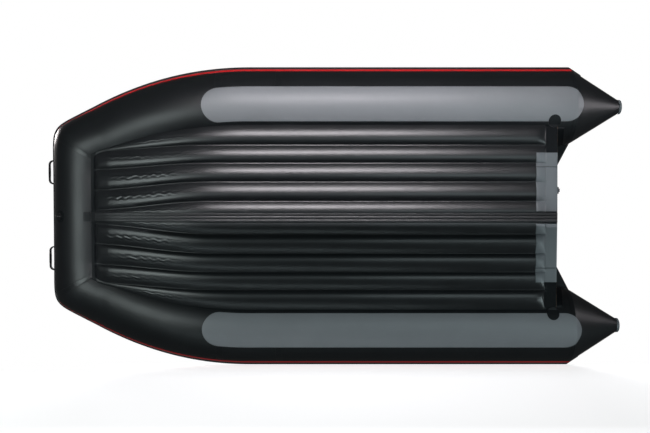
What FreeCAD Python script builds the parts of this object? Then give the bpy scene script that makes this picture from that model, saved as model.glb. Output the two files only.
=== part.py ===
import FreeCAD, Part
import math
import os
from FreeCAD import Matrix, Vector

# Inflatable boat, 3.35 m long, with a ribbed air floor, a blunt bow tube and a raked transom.
# Frame: +X to the bow, +Y to port, +Z up, origin on the ground under the middle of the boat.
# It stands on the two wear pads under the side tubes. Lengths are in millimetres.

# Main sizes
overall_length = 3349.0          # from the fronts of the bow handles to the caps of the stern cones
tube_diameter = 425.0
tube_spacing = 1250.0            # between the axes of the two side tubes
bow_width = 742.0                # between the mitre points on the axis of the bow tube
bend_length = 955.0              # from the start of the side tubes' bend to the axis of the bow tube
bow_rise_height = 180.0          # axis of the bow tube above the axes of the side tubes
rise_power = 2.5                 # how late the tubes rise along the bend
corner_gap = 20.0                # from a corner's inner side to the line that its gores fan about
corner_power = 14.0              # how square the outside of a corner is
section_step = 150.0             # between two sections along a bend
floor_seat_gap = 0.7             # between the floor and the tubes above it
floor_section_step = 75.0        # between two of the floor's sections along the bend
pad_section_step = 30.0          # between two of a wear pad's sections along the bend
least_chambers = 3               # across half of the floor, for the widest chamber there can be
halvings = 30                    # rounds of each search by halving
fit_points = 12                  # places at which an arc is held against the tubes
fit_tolerance = 0.01
corner_sections = 9

# Stern cones and their caps
cone_length = 283.0
cone_tip_diameter = 78.0
cap_diameter = 82.0
cap_rim = 9.0
cap_dome = 11.0

# Wear pads under the side tubes
pad_thickness = 2.5
pad_width = 190.0
pad_lap = 36.0                   # past the base of the cone
pad_reach = 252.0                # past the start of the bend
pad_end_steps = 9
pad_tip_share = 0.995

# Rub rail and the coloured stripe below it
rail_thickness = 14.0
rail_height = 54.0
rail_flat_share = 0.45           # of the rail's thickness, at its upper and lower edge
rail_lap = 66.0                  # past the base of the cone
stripe_thickness = 1.2
stripe_top_angle = math.radians(9.0)
stripe_bottom_angle = math.radians(25.0)
stripe_tip_share = 0.12          # of the stripe's width, left at its pointed end
stripe_reach_share = 0.5         # of the corner, taken by the pointed end

# Ribbed air floor, five chambers a side
floor_inset = 113.0              # from a side tube's axis inward to the floor's lower edge
floor_inset_bow = 42.0
floor_front_inset = 55.0         # from the bow tube's axis aft to the floor's front edge
floor_front_half = 356.0
floor_vee = 12.0                 # middle of the floor below its edges
floor_vee_bow = 28.0
floor_depth = 54.0               # height of the webs between the chambers
bulge_share = 0.22               # how far a chamber swells, of its width
seam_aft_shares = [0.0, 0.176, 0.385, 0.587, 0.781]
seam_bow_shares = [0.0, 0.110, 0.425, 0.750, 1.045]
seam_drift_start = 200.0         # past the start of the bend, where the seams start to close in
least_chamber = 14.0
floor_end_gap = 168.0            # from the cones' bases forward to the ends of the chambers
floor_nose = 56.0                # length over which a chamber's end rounds off
floor_front_edge = 4.0           # thickness where the floor ends under the bow tube
floor_front_zone = 150.0         # last stretch, where the bow tube presses on the chambers
flange_thickness = 5.0
flange_fullness = 0.02
front_fullness = 0.25
nose_steps = 5
floor_run_out = 170.0            # aft of the front zone, where the outermost chambers end
front_section_step = 12.5        # between two of the floor's sections from there on

# Keel strip
keel_width = 55.0
keel_drop = 20.0                 # below the middle seam of the floor
keel_ridges = 5
keel_ridge_height = 2.0
keel_front_gap = 80.0            # from the bow tube's axis aft to the strip's end
keel_stern_gap = 4.0

# Transom
transom_gap = 105.0              # from the cones' bases forward to the foot of the aft face
transom_thickness = 30.0
transom_rake = math.radians(12.0)
transom_height = 392.0           # top edge in the middle, above the ground
transom_shoulder = 30.0          # top edge at the sides, above the middle
transom_notch = 400.0            # width of the low middle part
transom_slope = 70.0             # width of the slope between the low part and the shoulder
outer_plate_width = 340.0
outer_plate_height = 190.0
inner_plate_width = 300.0
inner_plate_height = 130.0
plate_thickness = 6.0
plate_corner = 14.0
plate_drop = 12.0                # plates below the top edge of the board
holder_thickness = 7.0
holder_flank = 34.0              # width of a holder's flange on each side of the board
holder_lip = 6.0
holder_foot = 8.0                # above the floor's edge
gusset_across = 150.0
gusset_along = 84.0
gusset_thickness = 20.0
gusset_height = 322.0
gusset_tip = 12.0

# Patches
patch_thickness = 1.6
stern_patch_width = 112.0        # fore and aft
stern_patch_inner = 34.0         # from the centre line
stern_patch_split = 281.0
stern_patch_outer = 358.0
stern_patch_joint = 3.0
corner_patch_diameter = 68.0
corner_patch_lead = 19.0         # forward of the foot of the transom
corner_patch_side = 93.0         # from the side tube's axis inward
bow_patch_width = 54.0
bow_patch_thickness = 2.2
bow_patch_steps = 6
bow_patch_lead = 6.0             # aft of the bow tube's axis

# Drain in the transom
drain_side = 150.0
drain_height = 98.0
drain_bore = 24.0
drain_wall = 3.0
drain_flange = 48.0
drain_flange_thickness = 4.0
plug_fit = 0.3
plug_head = 38.0
plug_head_height = 12.0

# Bow handles
handle_side = 258.0
handle_height = 62.0             # above the bow tube's axis
handle_length = 152.0
handle_reach = 64.0              # in front of the bow tube
handle_strap = 25.0
handle_thickness = 6.5
handle_bend = 30.0
handle_patch_diameter = 64.0
handle_patch_thickness = 2.5

# Tow eye
eye_angle = math.radians(48.0)
eye_patch_diameter = 72.0
eye_patch_thickness = 2.5
eye_boss_diameter = 40.0
eye_boss_height = 9.0
eye_ring_radius = 15.0
eye_ring_thickness = 8.0

# Seat tracks and the two bench seats
track_angle = math.radians(41.2)  # round the tube, above its inner side
track_base_angle = math.radians(10.0)
track_base_thickness = 4.0
track_front_gap = 40.0           # aft of the start of the bend
track_stern_gap = 694.5          # forward of the cones' bases
tongue_length = 50.0             # inward from the tube's skin
tongue_thickness = 12.0
slide_fit = 0.3
slide_play = 0.7
slide_wall = 5.0
slide_tip_gap = 1.5
slide_flange = 28.0
seat_width = 220.0
seat_thickness = 20.0
seat_overhang = 12.0             # past the slides, at each end
seat_corner = 30.0
seat_edge = 4.0
slide_inset = 12.0
seat_place_share = 0.222         # of a track's length, from its end to the middle of a seat at rest

# Rowlocks
rowlock_place = -40.0
rowlock_pad_length = 140.0
rowlock_pad_width = 96.0
rowlock_pad_thickness = 4.0
rowlock_pad_round = 30.0
rowlock_boss_diameter = 46.0
rowlock_boss_top = 26.0          # above the crown of the tube
pin_diameter = 13.0
pin_fit = 0.25
pin_length = 34.0
collar_diameter = 26.0
collar_height = 6.0
horn_inside = 56.0
horn_rod = 12.0
horn_rise = 26.0
horn_ball = 15.0
rowlock_lift = 0.3

# Valves
valve_diameter = 66.0
valve_flange = 4.0
valve_cap_diameter = 48.0
valve_cap_height = 11.0
valve_notches = 12
valve_notch = 5.0
valve_angle = math.radians(48.0)
valve_stern_gap = 420.0          # forward of the cones' bases
floor_valve_lead = 150.0         # forward of the ends of the chambers
floor_valve_chamber = 3          # counted from the middle

overrun = 20.0                   # how far cutters and sunk ends run past a face
seat_gap = 0.3                   # between two curved faces that lie on each other

# Worked out from the sizes above
up = Vector(0, 0, 1)
tube_r = tube_diameter / 2
tube_y = tube_spacing / 2
tube_z = tube_r + pad_thickness
bow_z = tube_z + bow_rise_height
bow_x = overall_length / 2 - tube_r - handle_reach
stern_tip_x = -overall_length / 2
cone_base_x = stern_tip_x + cap_dome + cap_rim + cone_length
cone_slope = (tube_r - cone_tip_diameter / 2) / cone_length
bend_x = bow_x - bend_length
bend_drop = tube_y - bow_width / 2
bend_r = (bend_length ** 2 + bend_drop ** 2) / (2 * bend_drop)
bend_y = tube_y - bend_r
mitre_angle = (math.pi / 2 - math.asin(bend_length / bend_r)) / 2
pivot_reach = (tube_r + corner_gap) / math.cos(mitre_angle)
pivot = Vector(bow_x - pivot_reach * math.cos(mitre_angle),
               bow_width / 2 - pivot_reach * math.sin(mitre_angle), 0)
fan_angle = math.atan2(pivot.y - bend_y, pivot.x - bend_x)
side_length = bend_r * (math.pi / 2 - fan_angle)
side_gap = bend_r - math.hypot(pivot.x - bend_x, pivot.y - bend_y) - tube_r
bow_gap = bow_x - pivot.x - tube_r
corner_length = fan_angle * pivot_reach
rise_length = side_length + corner_length
cone_s = cone_base_x - bend_x
transom_x = cone_base_x + transom_gap
floor_end_x = cone_base_x + floor_end_gap
front_x = bow_x - floor_front_inset
track_x = cone_base_x + track_stern_gap
track_length = bend_x - track_front_gap - track_x
tongue_z = tube_z + tube_r * math.sin(track_angle)
tongue_tip_y = tube_y - tube_r * math.cos(track_angle) - tongue_length
slide_web_y = tongue_tip_y - slide_tip_gap
seat_length = (slide_web_y + slide_flange + seat_overhang) * 2


def rise_at(s):
    """Height of the tube's axis above its height aft, s along the tube from the start of the bend."""
    t = min(max(s / rise_length, 0), 1)
    return bow_rise_height * t ** rise_power * (rise_power + 1 - rise_power * t)


def steepness_at(s):
    t = min(max(s / rise_length, 0), 1)
    return bow_rise_height / rise_length * rise_power * (rise_power + 1) * t ** (rise_power - 1) * (1 - t)


def tube_at(s):
    """Centre, outward direction, half width and half height of the port tube's section at s."""
    if s <= 0:
        half = tube_r - max(cone_s - s, 0) * cone_slope
        return Vector(bend_x + s, tube_y, tube_z), Vector(0, 1, 0), half, half
    z = tube_z + rise_at(s)
    high = tube_r * math.hypot(1, steepness_at(s))
    if s <= side_length:
        turn = s / bend_r
        out = Vector(math.sin(turn), math.cos(turn), 0)
        return Vector(bend_x, bend_y, z) + out * bend_r, out, tube_r, high
    share = (s - side_length) / corner_length
    angle = fan_angle * (1 - share)
    out = Vector(math.cos(angle), math.sin(angle), 0)
    near = side_gap + (bow_gap - side_gap) * share
    side_far = (side_gap + tube_diameter) / math.cos(fan_angle - angle)
    bow_far = (bow_gap + tube_diameter) / math.cos(angle)
    far = (side_far ** -corner_power + bow_far ** -corner_power) ** (-1 / corner_power)
    centre = Vector(pivot.x, pivot.y, z) + out * ((far + near) / 2)
    return centre, out, (far - near) / 2, high


def tube_level(x, y, side):
    """Height of the hull tubes' lower (side -1) or upper (side 1) face over a place, None beside them."""
    y = abs(y)
    if x <= bend_x:
        s, offset = x - bend_x, y - tube_y
    else:
        turn = math.atan2(x - bend_x, y - bend_y)
        s, offset = turn * bend_r, math.hypot(x - bend_x, y - bend_y) - bend_r
    if s > side_length and y <= pivot.y:
        s, offset = rise_length, x - bow_x
    centre, out, wide, high = tube_at(s)
    if side_length < s < rise_length:
        angle = math.atan2(y - pivot.y, x - pivot.x)
        s = side_length + corner_length * (1 - angle / fan_angle)
        centre, out, wide, high = tube_at(s)
        offset = math.hypot(x - pivot.x, y - pivot.y) - math.hypot(centre.x - pivot.x, centre.y - pivot.y)
    if abs(offset) >= wide:
        return None
    return centre.z + side * high * math.sqrt(1 - (offset / wide) ** 2)


def placed(wire, s):
    """A wire drawn on the unit circle, carried to the tube's section at s."""
    centre, out, wide, high = tube_at(s)
    ahead = out.cross(up)
    carry = Matrix(out.x * wide, 0, ahead.x, centre.x,
                   out.y * wide, 0, ahead.y, centre.y,
                   0, high, 0, centre.z,
                   0, 0, 0, 1)
    return Part.Wire(wire.transformGeometry(carry).Edges)


def fused(solids):
    return solids[0].multiFuse(solids[1:]).removeSplitter()


def largest(shape):
    return max(shape.Solids, key=lambda solid: solid.Volume)


def sewn(faces):
    """A solid from the faces that close it."""
    shell = Part.makeShell(faces)
    shell.sewShape()
    solid = Part.makeSolid(shell)
    if solid.Volume < 0:
        solid.reverse()
    return solid


def skin_along(profile, start, end):
    """The open skin that profile(s), a wire on the unit circle, draws along the tube from start to end."""
    stops = [start] + [s for s in (cone_s, 0.0, side_length) if start < s < end] + [end]
    faces = []
    for low, high in zip(stops, stops[1:]):
        straight = high <= 0
        count = 2 if straight else max(4, math.ceil((high - low) / section_step) + 1)
        if low >= side_length:
            count = corner_sections
        places = [low + (high - low) * i / (count - 1) for i in range(count)]
        faces += Part.makeLoft([placed(profile(s), s) for s in places], False, straight).Faces
    return faces


def swept(profile, start, end):
    """The solid that profile(s) draws along the tube from start to end."""
    ends = [Part.Face(placed(profile(s), s)) for s in (start, end)]
    return sewn(skin_along(profile, start, end) + ends)


def lofted(wires, smooth):
    return Part.makeLoft(wires, False, not smooth).Faces


def ruled_solid(wires):
    return sewn(lofted(wires, False) + [Part.Face(wires[0]), Part.Face(wires[-1])])


def swept_round_bow(profile):
    """The solid that profile(s) draws round the bow, from one side tube's end to the other's."""
    corner = skin_along(profile, side_length, rise_length)
    last = placed(profile(rise_length), rise_length)
    middle = last.extrude(Vector(0, -pivot.y * 2, 0)).Faces
    end = Part.Face(placed(profile(side_length), side_length))
    half = corner + [end]
    return sewn(half + middle + [mirrored(face) for face in half])


def mirrored(shape):
    return shape.mirror(Vector(0, 0, 0), Vector(0, 1, 0))


def polygon(points):
    return Part.makePolygon(points + [points[0]])


def arc_through(first, middle, last):
    return Part.Arc(first, middle, last).toShape()


def full_circle(s):
    return Part.Wire([Part.makeCircle(1.0)])


def ring_sector(inner, outer, low, high):
    """A piece of a ring between two angles above the outward direction, in shares of the tube's radius."""
    def spot(radius, angle):
        return Vector(radius * math.cos(angle), radius * math.sin(angle), 0)
    middle = (low + high) / 2
    return Part.Wire([
        arc_through(spot(outer, low), spot(outer, middle), spot(outer, high)),
        Part.makeLine(spot(outer, high), spot(inner, high)),
        arc_through(spot(inner, high), spot(inner, middle), spot(inner, low)),
        Part.makeLine(spot(inner, low), spot(outer, low)),
    ])


def rounded_plate(length, width, thickness, corner):
    """A flat plate about the origin with round upright corners, resting on z = 0."""
    plate = Part.makeBox(length, width, thickness, Vector(-length / 2, -width / 2, 0))
    uprights = [e for e in plate.Edges if abs(e.tangentAt(e.FirstParameter).z) > 1 - 1e-6]
    return plate.makeFillet(corner, uprights)


def raked_slab(front, back):
    """The space between two raked planes, front and back of the transom's aft face by these lengths."""
    tall = tube_diameter * 2
    wide = tube_spacing
    slab = Part.makeBox(back + front, wide, tall, Vector(-back, -wide / 2, -tall / 2))
    slab.rotate(Vector(0, 0, 0), Vector(0, 1, 0), -math.degrees(transom_rake))
    slab.translate(Vector(transom_x, 0, foot_z))
    return slab


def aft_face_x(z):
    return transom_x - (z - foot_z) * math.tan(transom_rake)


def straight_side(radius, y=tube_y):
    """The straight part of a side tube, as a plain rod of another radius."""
    return Part.makeCylinder(radius, bend_x - cone_base_x, Vector(cone_base_x, y, tube_z), Vector(1, 0, 0))


def straight_bow(radius):
    """The straight part of the bow tube run on to the handles' feet, as a plain rod of another radius."""
    half = handle_side + handle_length
    return Part.makeCylinder(radius, half * 2, Vector(bow_x, -half, bow_z), Vector(0, 1, 0))


# Hull tubes

def make_side_tube():
    return swept(full_circle, cone_s, side_length)


def make_bow_tube():
    return swept_round_bow(full_circle)


def make_cone():
    return swept(full_circle, cone_s - cone_length, cone_s)


def make_cone_cap():
    """A domed cap on the cut end of the cone."""
    radius = cap_diameter / 2
    dome_r = (radius ** 2 + cap_dome ** 2) / (2 * cap_dome)
    base_x = cone_base_x - cone_length - seat_gap
    rod = Part.makeCylinder(radius, cap_rim + cap_dome, Vector(base_x, tube_y, tube_z), Vector(-1, 0, 0))
    ball = Part.makeSphere(dome_r, Vector(base_x - cap_rim - cap_dome + dome_r, tube_y, tube_z))
    return largest(rod.common(ball))


# Rub rail, stripe and wear pads

def rail_profile(s):
    """A strip with a round face, hollowed to lie on the tube."""
    back = 1 + seat_gap / tube_r
    flat = 1 + rail_thickness * rail_flat_share / tube_r
    nose = 1 + rail_thickness / tube_r
    half = rail_height / 2 / tube_r
    edge = math.sqrt(back ** 2 - half ** 2)
    low, high = Vector(flat, -half, 0), Vector(flat, half, 0)
    return Part.Wire([
        Part.makeLine(Vector(edge, -half, 0), low),
        arc_through(low, Vector(nose, 0, 0), high),
        Part.makeLine(high, Vector(edge, half, 0)),
        arc_through(Vector(edge, half, 0), Vector(back, 0, 0), Vector(edge, -half, 0)),
    ])


def make_side_rail():
    return swept(rail_profile, cone_s - rail_lap, side_length)


def make_bow_rail():
    return swept_round_bow(rail_profile)


def stripe_profile(s):
    left = min(max((s - side_length) / (corner_length * stripe_reach_share), 0), 1)
    bottom = stripe_bottom_angle - (stripe_bottom_angle - stripe_top_angle) * left * (1 - stripe_tip_share)
    return ring_sector(1 + seat_gap / tube_r, 1 + stripe_thickness / tube_r, -bottom, -stripe_top_angle)


def make_stripe():
    return swept(stripe_profile, cone_s, side_length + corner_length * stripe_reach_share)


def make_wear_pad():
    """A strip under the tube with round ends, its aft end lapped over the cone."""
    half = pad_width / 2
    aft, fore = cone_s - pad_lap + half, pad_reach - half
    shares = [math.sin(math.pi / 2 * i / pad_end_steps) for i in range(pad_end_steps)]
    shares.append(pad_tip_share)
    places = [aft - half * a for a in reversed(shares)] + [cone_s, 0.0]
    bend_steps = math.ceil(fore / pad_section_step)
    places += [fore * i / bend_steps for i in range(1, bend_steps)] + [fore + half * a for a in shares]

    def section(s):
        past = max(aft - s, s - fore, 0)
        angle = math.asin(math.sqrt(half ** 2 - past ** 2) / tube_r)
        return placed(ring_sector(1 + seat_gap / tube_r, 1 + pad_thickness / tube_r,
                                  -math.pi / 2 - angle, -math.pi / 2 + angle), s)
    return ruled_solid([section(s) for s in sorted(places)])


# Floor

def floor_half_at(x):
    """Half width of the floor at x, to the line where its lower skin meets a tube."""
    share = max(x - bend_x, 0) / (front_x - bend_x)
    inset = floor_inset + (floor_inset_bow - floor_inset) * share ** 2
    if x <= bend_x:
        return tube_y - inset
    last_x = bend_x + (bend_r - inset) * math.sin(side_length / bend_r)
    turn = math.asin((min(x, last_x) - bend_x) / (bend_r - inset))
    half = bend_y + (bend_r - inset) * math.cos(turn)
    if x > last_x:
        half += (floor_front_half - half) * (x - last_x) / (front_x - last_x)
    return half


def roof_at(x, y):
    """Highest level that the floor may reach under the tubes at a place."""
    level = tube_level(x, y, -1)
    return math.inf if level is None else level - floor_seat_gap


def seam_places(x):
    """Distance from the centre line and height of the lower seams at x, from the middle to the edge."""
    half = floor_half_at(x)
    edge_z = roof_at(x, half)
    share = min(max(x - bend_x, 0) / (front_x - bend_x), 1)
    middle_z = edge_z - floor_vee * (1 - share) - floor_vee_bow * 4 * share ** 2 * (1 - share)
    start = bend_x + seam_drift_start
    drift = min(max((x - start) / (front_x - start), 0), 1)
    drift = drift * drift * (3 - 2 * drift)
    places = []
    for aft_share, bow_share in zip(seam_aft_shares, seam_bow_shares):
        y = (tube_y - floor_inset) * aft_share * (1 - drift) + floor_front_half * bow_share * drift
        y = min(y, half - least_chamber)
        z = middle_z + (edge_z - middle_z) * y / half
        places.append((y, min(z, roof_at(x, y) - floor_front_edge)))
    return places + [(half, edge_z)]


def swell_at(x, width):
    """How far a chamber of this width stands below or above its seams at x."""
    return bulge_share * floor_fullness(x) * width


def floor_web(x):
    """Height of the upper seams over the lower ones at x."""
    return flange_thickness + (floor_depth - flange_thickness) * floor_fullness(x)


def floor_fullness(x):
    """1 along the floor, falling off in the chambers' round ends and under the bow tube."""
    if x <= floor_end_x:
        return flange_fullness
    if x < floor_end_x + floor_nose:
        share = (x - floor_end_x) / floor_nose
        return max(math.sqrt(1 - (1 - share) ** 2), flange_fullness)
    share = max(x - (front_x - floor_front_zone), 0) / floor_front_zone
    return 1 - (1 - front_fullness) * share ** 2


def bulged(x, y0, z0, y1, z1, swell):
    middle = Vector(x, (y0 + y1) / 2, (z0 + z1) / 2 + swell)
    return arc_through(Vector(x, y0, z0), middle, Vector(x, y1, z1))


def clear_swell(x, y0, z0, y1, z1, swell):
    """The given swell of an arc, or as much of it as keeps the arc below the tubes."""
    def goes_in(middle):
        edge = bulged(x, y0, z0, y1, z1, middle)
        points = edge.discretize(fit_points)[1:-1]
        return any(point.z > roof_at(x, point.y) + fit_tolerance for point in points)
    if not goes_in(swell):
        return swell
    low, high = -abs(y1 - y0) / 2, swell
    for _ in range(halvings):
        middle = (low + high) / 2
        low, high = (low, middle) if goes_in(middle) else (middle, high)
    return low


def floor_section(x):
    """Section across the floor at x: round chambers below and above, hollowed sides that fit the tubes."""
    seams = seam_places(x)
    web = floor_web(x)
    edge_y, edge_z = seams[-1]
    last_y = seams[-2][0]
    tops = [(y, min(z + web, roof_at(x, y))) for y, z in seams[:-1]]
    level = edge_z + web
    near, far = (last_y + edge_y) / 2, edge_y
    shelf_y = near
    if roof_at(x, shelf_y) > level:
        for _ in range(halvings):
            shelf_y = (near + far) / 2
            near, far = (shelf_y, far) if roof_at(x, shelf_y) > level else (near, shelf_y)
    tops.append((shelf_y, min(level, roof_at(x, shelf_y))))

    lower, upper = [], []
    for (y0, z0), (y1, z1) in zip(seams, seams[1:]):
        lower.append(bulged(x, y0, z0, y1, z1, -swell_at(x, y1 - y0)))
    for (y0, z0), (y1, z1) in zip(tops, tops[1:]):
        upper.append(bulged(x, y0, z0, y1, z1, clear_swell(x, y0, z0, y1, z1, swell_at(x, y1 - y0))))
    shelf_z = tops[-1][1]
    room = roof_at(x, (edge_y + shelf_y) / 2) - (edge_z + shelf_z) / 2
    swell = clear_swell(x, edge_y, edge_z, shelf_y, shelf_z, room)
    side = bulged(x, edge_y, edge_z, shelf_y, shelf_z, swell)
    half = lower + [side] + upper[::-1]
    return Part.Wire(half + [mirrored(edge) for edge in reversed(half)])


def floor_places():
    """Sections along the floor: flange, round ends, straight run, bend, and the stretch under the bow."""
    nose = [floor_end_x + floor_nose * (1 - math.cos(math.pi / 2 * i / nose_steps))
            for i in range(nose_steps + 1)]
    zone_x = front_x - floor_front_zone - floor_run_out
    count = math.ceil((zone_x - bend_x) / floor_section_step)
    bend = [bend_x + (zone_x - bend_x) * i / count for i in range(count + 1)]
    count = math.ceil((front_x - zone_x) / front_section_step)
    zone = [zone_x + (front_x - zone_x) * i / count for i in range(count + 1)]
    return [transom_x] + nose, bend, zone


def make_floor():
    aft, bend, zone = floor_places()
    faces = lofted([floor_section(x) for x in aft + bend[:1]], False)
    faces += lofted([floor_section(x) for x in bend], True)
    faces += lofted([floor_section(x) for x in zone], False)
    ends = [Part.Face(floor_section(x)) for x in (transom_x, front_x)]
    return sewn(faces + ends)


def under_floor(x, y):
    """Height of the floor's lower skin at a place, on the round of its chamber."""
    seams = seam_places(x)
    for (y0, z0), (y1, z1) in zip(seams, seams[1:]):
        if y <= y1:
            break
    width = y1 - y0
    swell = swell_at(x, width)
    radius = (width ** 2 / 4 + swell ** 2) / (2 * swell)
    off = y - (y0 + y1) / 2
    return z0 + (z1 - z0) * (y - y0) / width - swell + radius - math.sqrt(radius ** 2 - off ** 2)


def keel_section(x):
    """Section across the keel strip at x: it fills the groove of the middle seam, with ridges below."""
    half = keel_width / 2
    low = seam_places(x)[0][1] - (keel_drop - keel_ridge_height) * (floor_fullness(x) if x > bend_x else 1)
    step = keel_width / keel_ridges

    def top(y):
        return Vector(x, y, under_floor(x, abs(y)) - seat_gap)
    edges = []
    for i in range(keel_ridges):
        y = -half + step * i
        edges.append(bulged(x, y, low, y + step, low, -keel_ridge_height))
    edges.append(Part.makeLine(Vector(x, half, low), top(half)))
    edges.append(arc_through(top(half), top(half / 2), top(0)))
    edges.append(arc_through(top(0), top(-half / 2), top(-half)))
    edges.append(Part.makeLine(top(-half), Vector(x, -half, low)))
    return Part.Wire(edges)


def make_keel_strip():
    aft, bend, zone = floor_places()
    end_x = bow_x - keel_front_gap
    aft[0] = transom_x + keel_stern_gap
    zone = [x for x in zone if x < end_x] + [end_x]
    faces = lofted([keel_section(x) for x in aft + bend[:1]], False)
    faces += lofted([keel_section(x) for x in bend], True)
    faces += lofted([keel_section(x) for x in zone], False)
    ends = [Part.Face(keel_section(x)) for x in (aft[0], end_x)]
    return sewn(faces + ends)


# Transom

def make_transom_board():
    half, edge_z = seam_places(transom_x)[-1]
    low = floor_web(transom_x) + swell_at(transom_x, half / least_chambers) + seat_gap
    middle_z = seam_places(transom_x)[0][1] + low
    notch = transom_notch / 2
    high = transom_height + transom_shoulder
    x = transom_x - tube_diameter
    side = [Vector(x, half, edge_z + low), Vector(x, half, high),
            Vector(x, notch + transom_slope, high), Vector(x, notch, transom_height)]
    other = [Vector(x, -point.y, point.z) for point in reversed(side)]
    face = Part.Face(polygon([Vector(x, 0, middle_z)] + side + other))
    board = face.extrude(Vector(tube_diameter * 2, 0, 0)).common(raked_slab(transom_thickness, 0))
    hole = drain_rod(drain_bore / 2 + drain_wall, -overrun, transom_thickness + overrun)
    tubes = [straight_side(tube_r + seat_gap, side * tube_y) for side in (1, -1)]
    return largest(board.cut(tubes + [hole]))


def on_transom(shape, y, z, depth):
    """Moves a shape drawn about the origin, with +Z aft, to the transom's aft face, sunk in by depth."""
    shape.rotate(Vector(0, 0, 0), Vector(0, 1, 0), -90 - math.degrees(transom_rake))
    sunk = Vector(math.cos(transom_rake), 0, math.sin(transom_rake)) * depth
    shape.translate(Vector(aft_face_x(z), y, z) + sunk)
    return shape


def drain_rod(radius, low, high):
    """A rod along the drain's axis, from low to high measured forward from the transom's aft face."""
    rod = Part.makeCylinder(radius, high - low)
    return on_transom(rod, drain_side, drain_height, high)


def make_transom_plate(width, height, depth):
    plate = rounded_plate(height, width, plate_thickness, plate_corner)
    z = transom_height - plate_drop - height / 2
    return on_transom(plate, 0, z, depth)


def make_drain_fitting():
    wall = drain_bore / 2 + drain_wall
    body = drain_rod(wall, -drain_flange_thickness, transom_thickness + drain_flange_thickness)
    aft = drain_rod(drain_flange / 2, -drain_flange_thickness, 0)
    fore = drain_rod(drain_flange / 2, transom_thickness, transom_thickness + drain_flange_thickness)
    bore = drain_rod(drain_bore / 2, -overrun, transom_thickness + overrun)
    return largest(fused([body, aft, fore]).cut(bore))


def make_drain_plug():
    outside = -drain_flange_thickness - plug_fit
    stem = drain_rod(drain_bore / 2 - plug_fit, outside - plug_head_height / 2, transom_thickness)
    head = drain_rod(plug_head / 2, outside - plug_head_height / 2, outside)
    grip = drain_rod(plug_head / 4, outside - plug_head_height, outside)
    return fused([stem, head, grip])


def make_transom_holder():
    """A rubber shoe on the tube that takes the board's edge, with a flange on each side of it."""
    shell = straight_side(tube_r + holder_thickness).cut(straight_side(tube_r + seat_gap))
    band = shell.common(raked_slab(transom_thickness + holder_flank, holder_flank))
    low = seam_places(transom_x)[-1][1] + holder_foot
    high = transom_height + transom_shoulder - holder_lip
    space = Part.makeBox(tube_diameter * 2, tube_y, high - low, Vector(transom_x - tube_diameter, 0, low))
    band = band.common(space).cut(raked_slab(transom_thickness + seat_gap, seat_gap))
    return Part.makeCompound(band.Solids)


def make_gusset():
    """A flat three-cornered knee between the board's aft face and the tube."""
    low = gusset_height - gusset_thickness / 2
    face_x = aft_face_x(low)
    side_y = tube_y - math.sqrt(tube_r ** 2 - (gusset_height - tube_z) ** 2)
    inner_y = side_y - gusset_across
    face = Part.Face(polygon([
        Vector(face_x + overrun, inner_y, low),
        Vector(face_x - gusset_tip, inner_y, low),
        Vector(face_x - gusset_along, side_y - gusset_tip, low),
        Vector(face_x - gusset_along, side_y + overrun, low),
        Vector(face_x + overrun, side_y + overrun, low),
    ]))
    knee = face.extrude(up * gusset_thickness)
    holder = straight_side(tube_r + holder_thickness + seat_gap)
    holder = holder.common(raked_slab(transom_thickness, holder_flank + seat_gap))
    cone = Part.makeCone(tube_r + seat_gap, cone_tip_diameter / 2 + seat_gap, cone_length,
                         Vector(cone_base_x, tube_y, tube_z), Vector(-1, 0, 0))
    tube = straight_side(tube_r + seat_gap)
    return largest(knee.cut([tube, cone, raked_slab(transom_thickness, 0), holder]))


# Patches

def under_floor_wire(x, y_from, y_to):
    """Section at x of a patch that follows the floor's lower skin between two places."""
    ys = [y_from] + [y for y, z in seam_places(x) if y_from < y < y_to] + [y_to]

    def chain(drop):
        edges = []
        for y0, y1 in zip(ys, ys[1:]):
            spots = [Vector(x, y, under_floor(x, y) - drop) for y in (y0, (y0 + y1) / 2, y1)]
            edges.append(arc_through(*spots))
        return edges
    outer = chain(patch_thickness)
    inner = chain(seat_gap)
    first = Part.makeLine(inner[0].Vertexes[0].Point, outer[0].Vertexes[0].Point)
    last = Part.makeLine(outer[-1].Vertexes[-1].Point, inner[-1].Vertexes[-1].Point)
    return Part.Wire([first] + outer + [last] + inner[::-1])


def make_stern_patches():
    """Grey reinforcing patches, two a side, over the chambers' ends and the floor's flange."""
    aft, bend, zone = floor_places()
    places = aft + [transom_x + stern_patch_width]
    patches = []
    spans = [(stern_patch_inner, stern_patch_split - stern_patch_joint),
             (stern_patch_split, stern_patch_outer)]
    for inner, outer in spans:
        wires = [under_floor_wire(x, inner, outer) for x in sorted(places)]
        patch = ruled_solid(wires)
        patches += [patch, mirrored(patch)]
    return Part.makeCompound(patches)


def make_corner_patches():
    """Round patches over the stern ends of the seams between the floor, the side tubes and the pads."""
    x = transom_x + corner_patch_lead
    y = tube_y - corner_patch_side
    half, edge_z = seam_places(transom_x)[-1]
    thick = pad_thickness + patch_thickness
    pad_y = tube_y - pad_width / 2 * (1 + pad_thickness / tube_r) - seat_gap
    size = tube_diameter
    beside_floor = Part.makeBox(size, size, tube_z, Vector(x - tube_r, half + seat_gap, 0))
    beside_pad = Part.makeBox(size, size, tube_z, Vector(x - tube_r, pad_y, 0))
    on_pad = straight_side(tube_r + pad_thickness + seat_gap).common(beside_pad)
    shell = straight_side(tube_r + thick).cut([straight_side(tube_r + seat_gap), on_pad])
    under = Part.makeBox(size, half, thick, Vector(x - tube_r, seat_gap * 2, edge_z - thick - seat_gap * 2))
    rod = Part.makeCylinder(corner_patch_diameter / 2, tube_z, Vector(x, y, 0))
    patch = largest(shell.common(beside_floor).fuse(under).common(rod))
    return Part.makeCompound([patch, mirrored(patch)])


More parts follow.
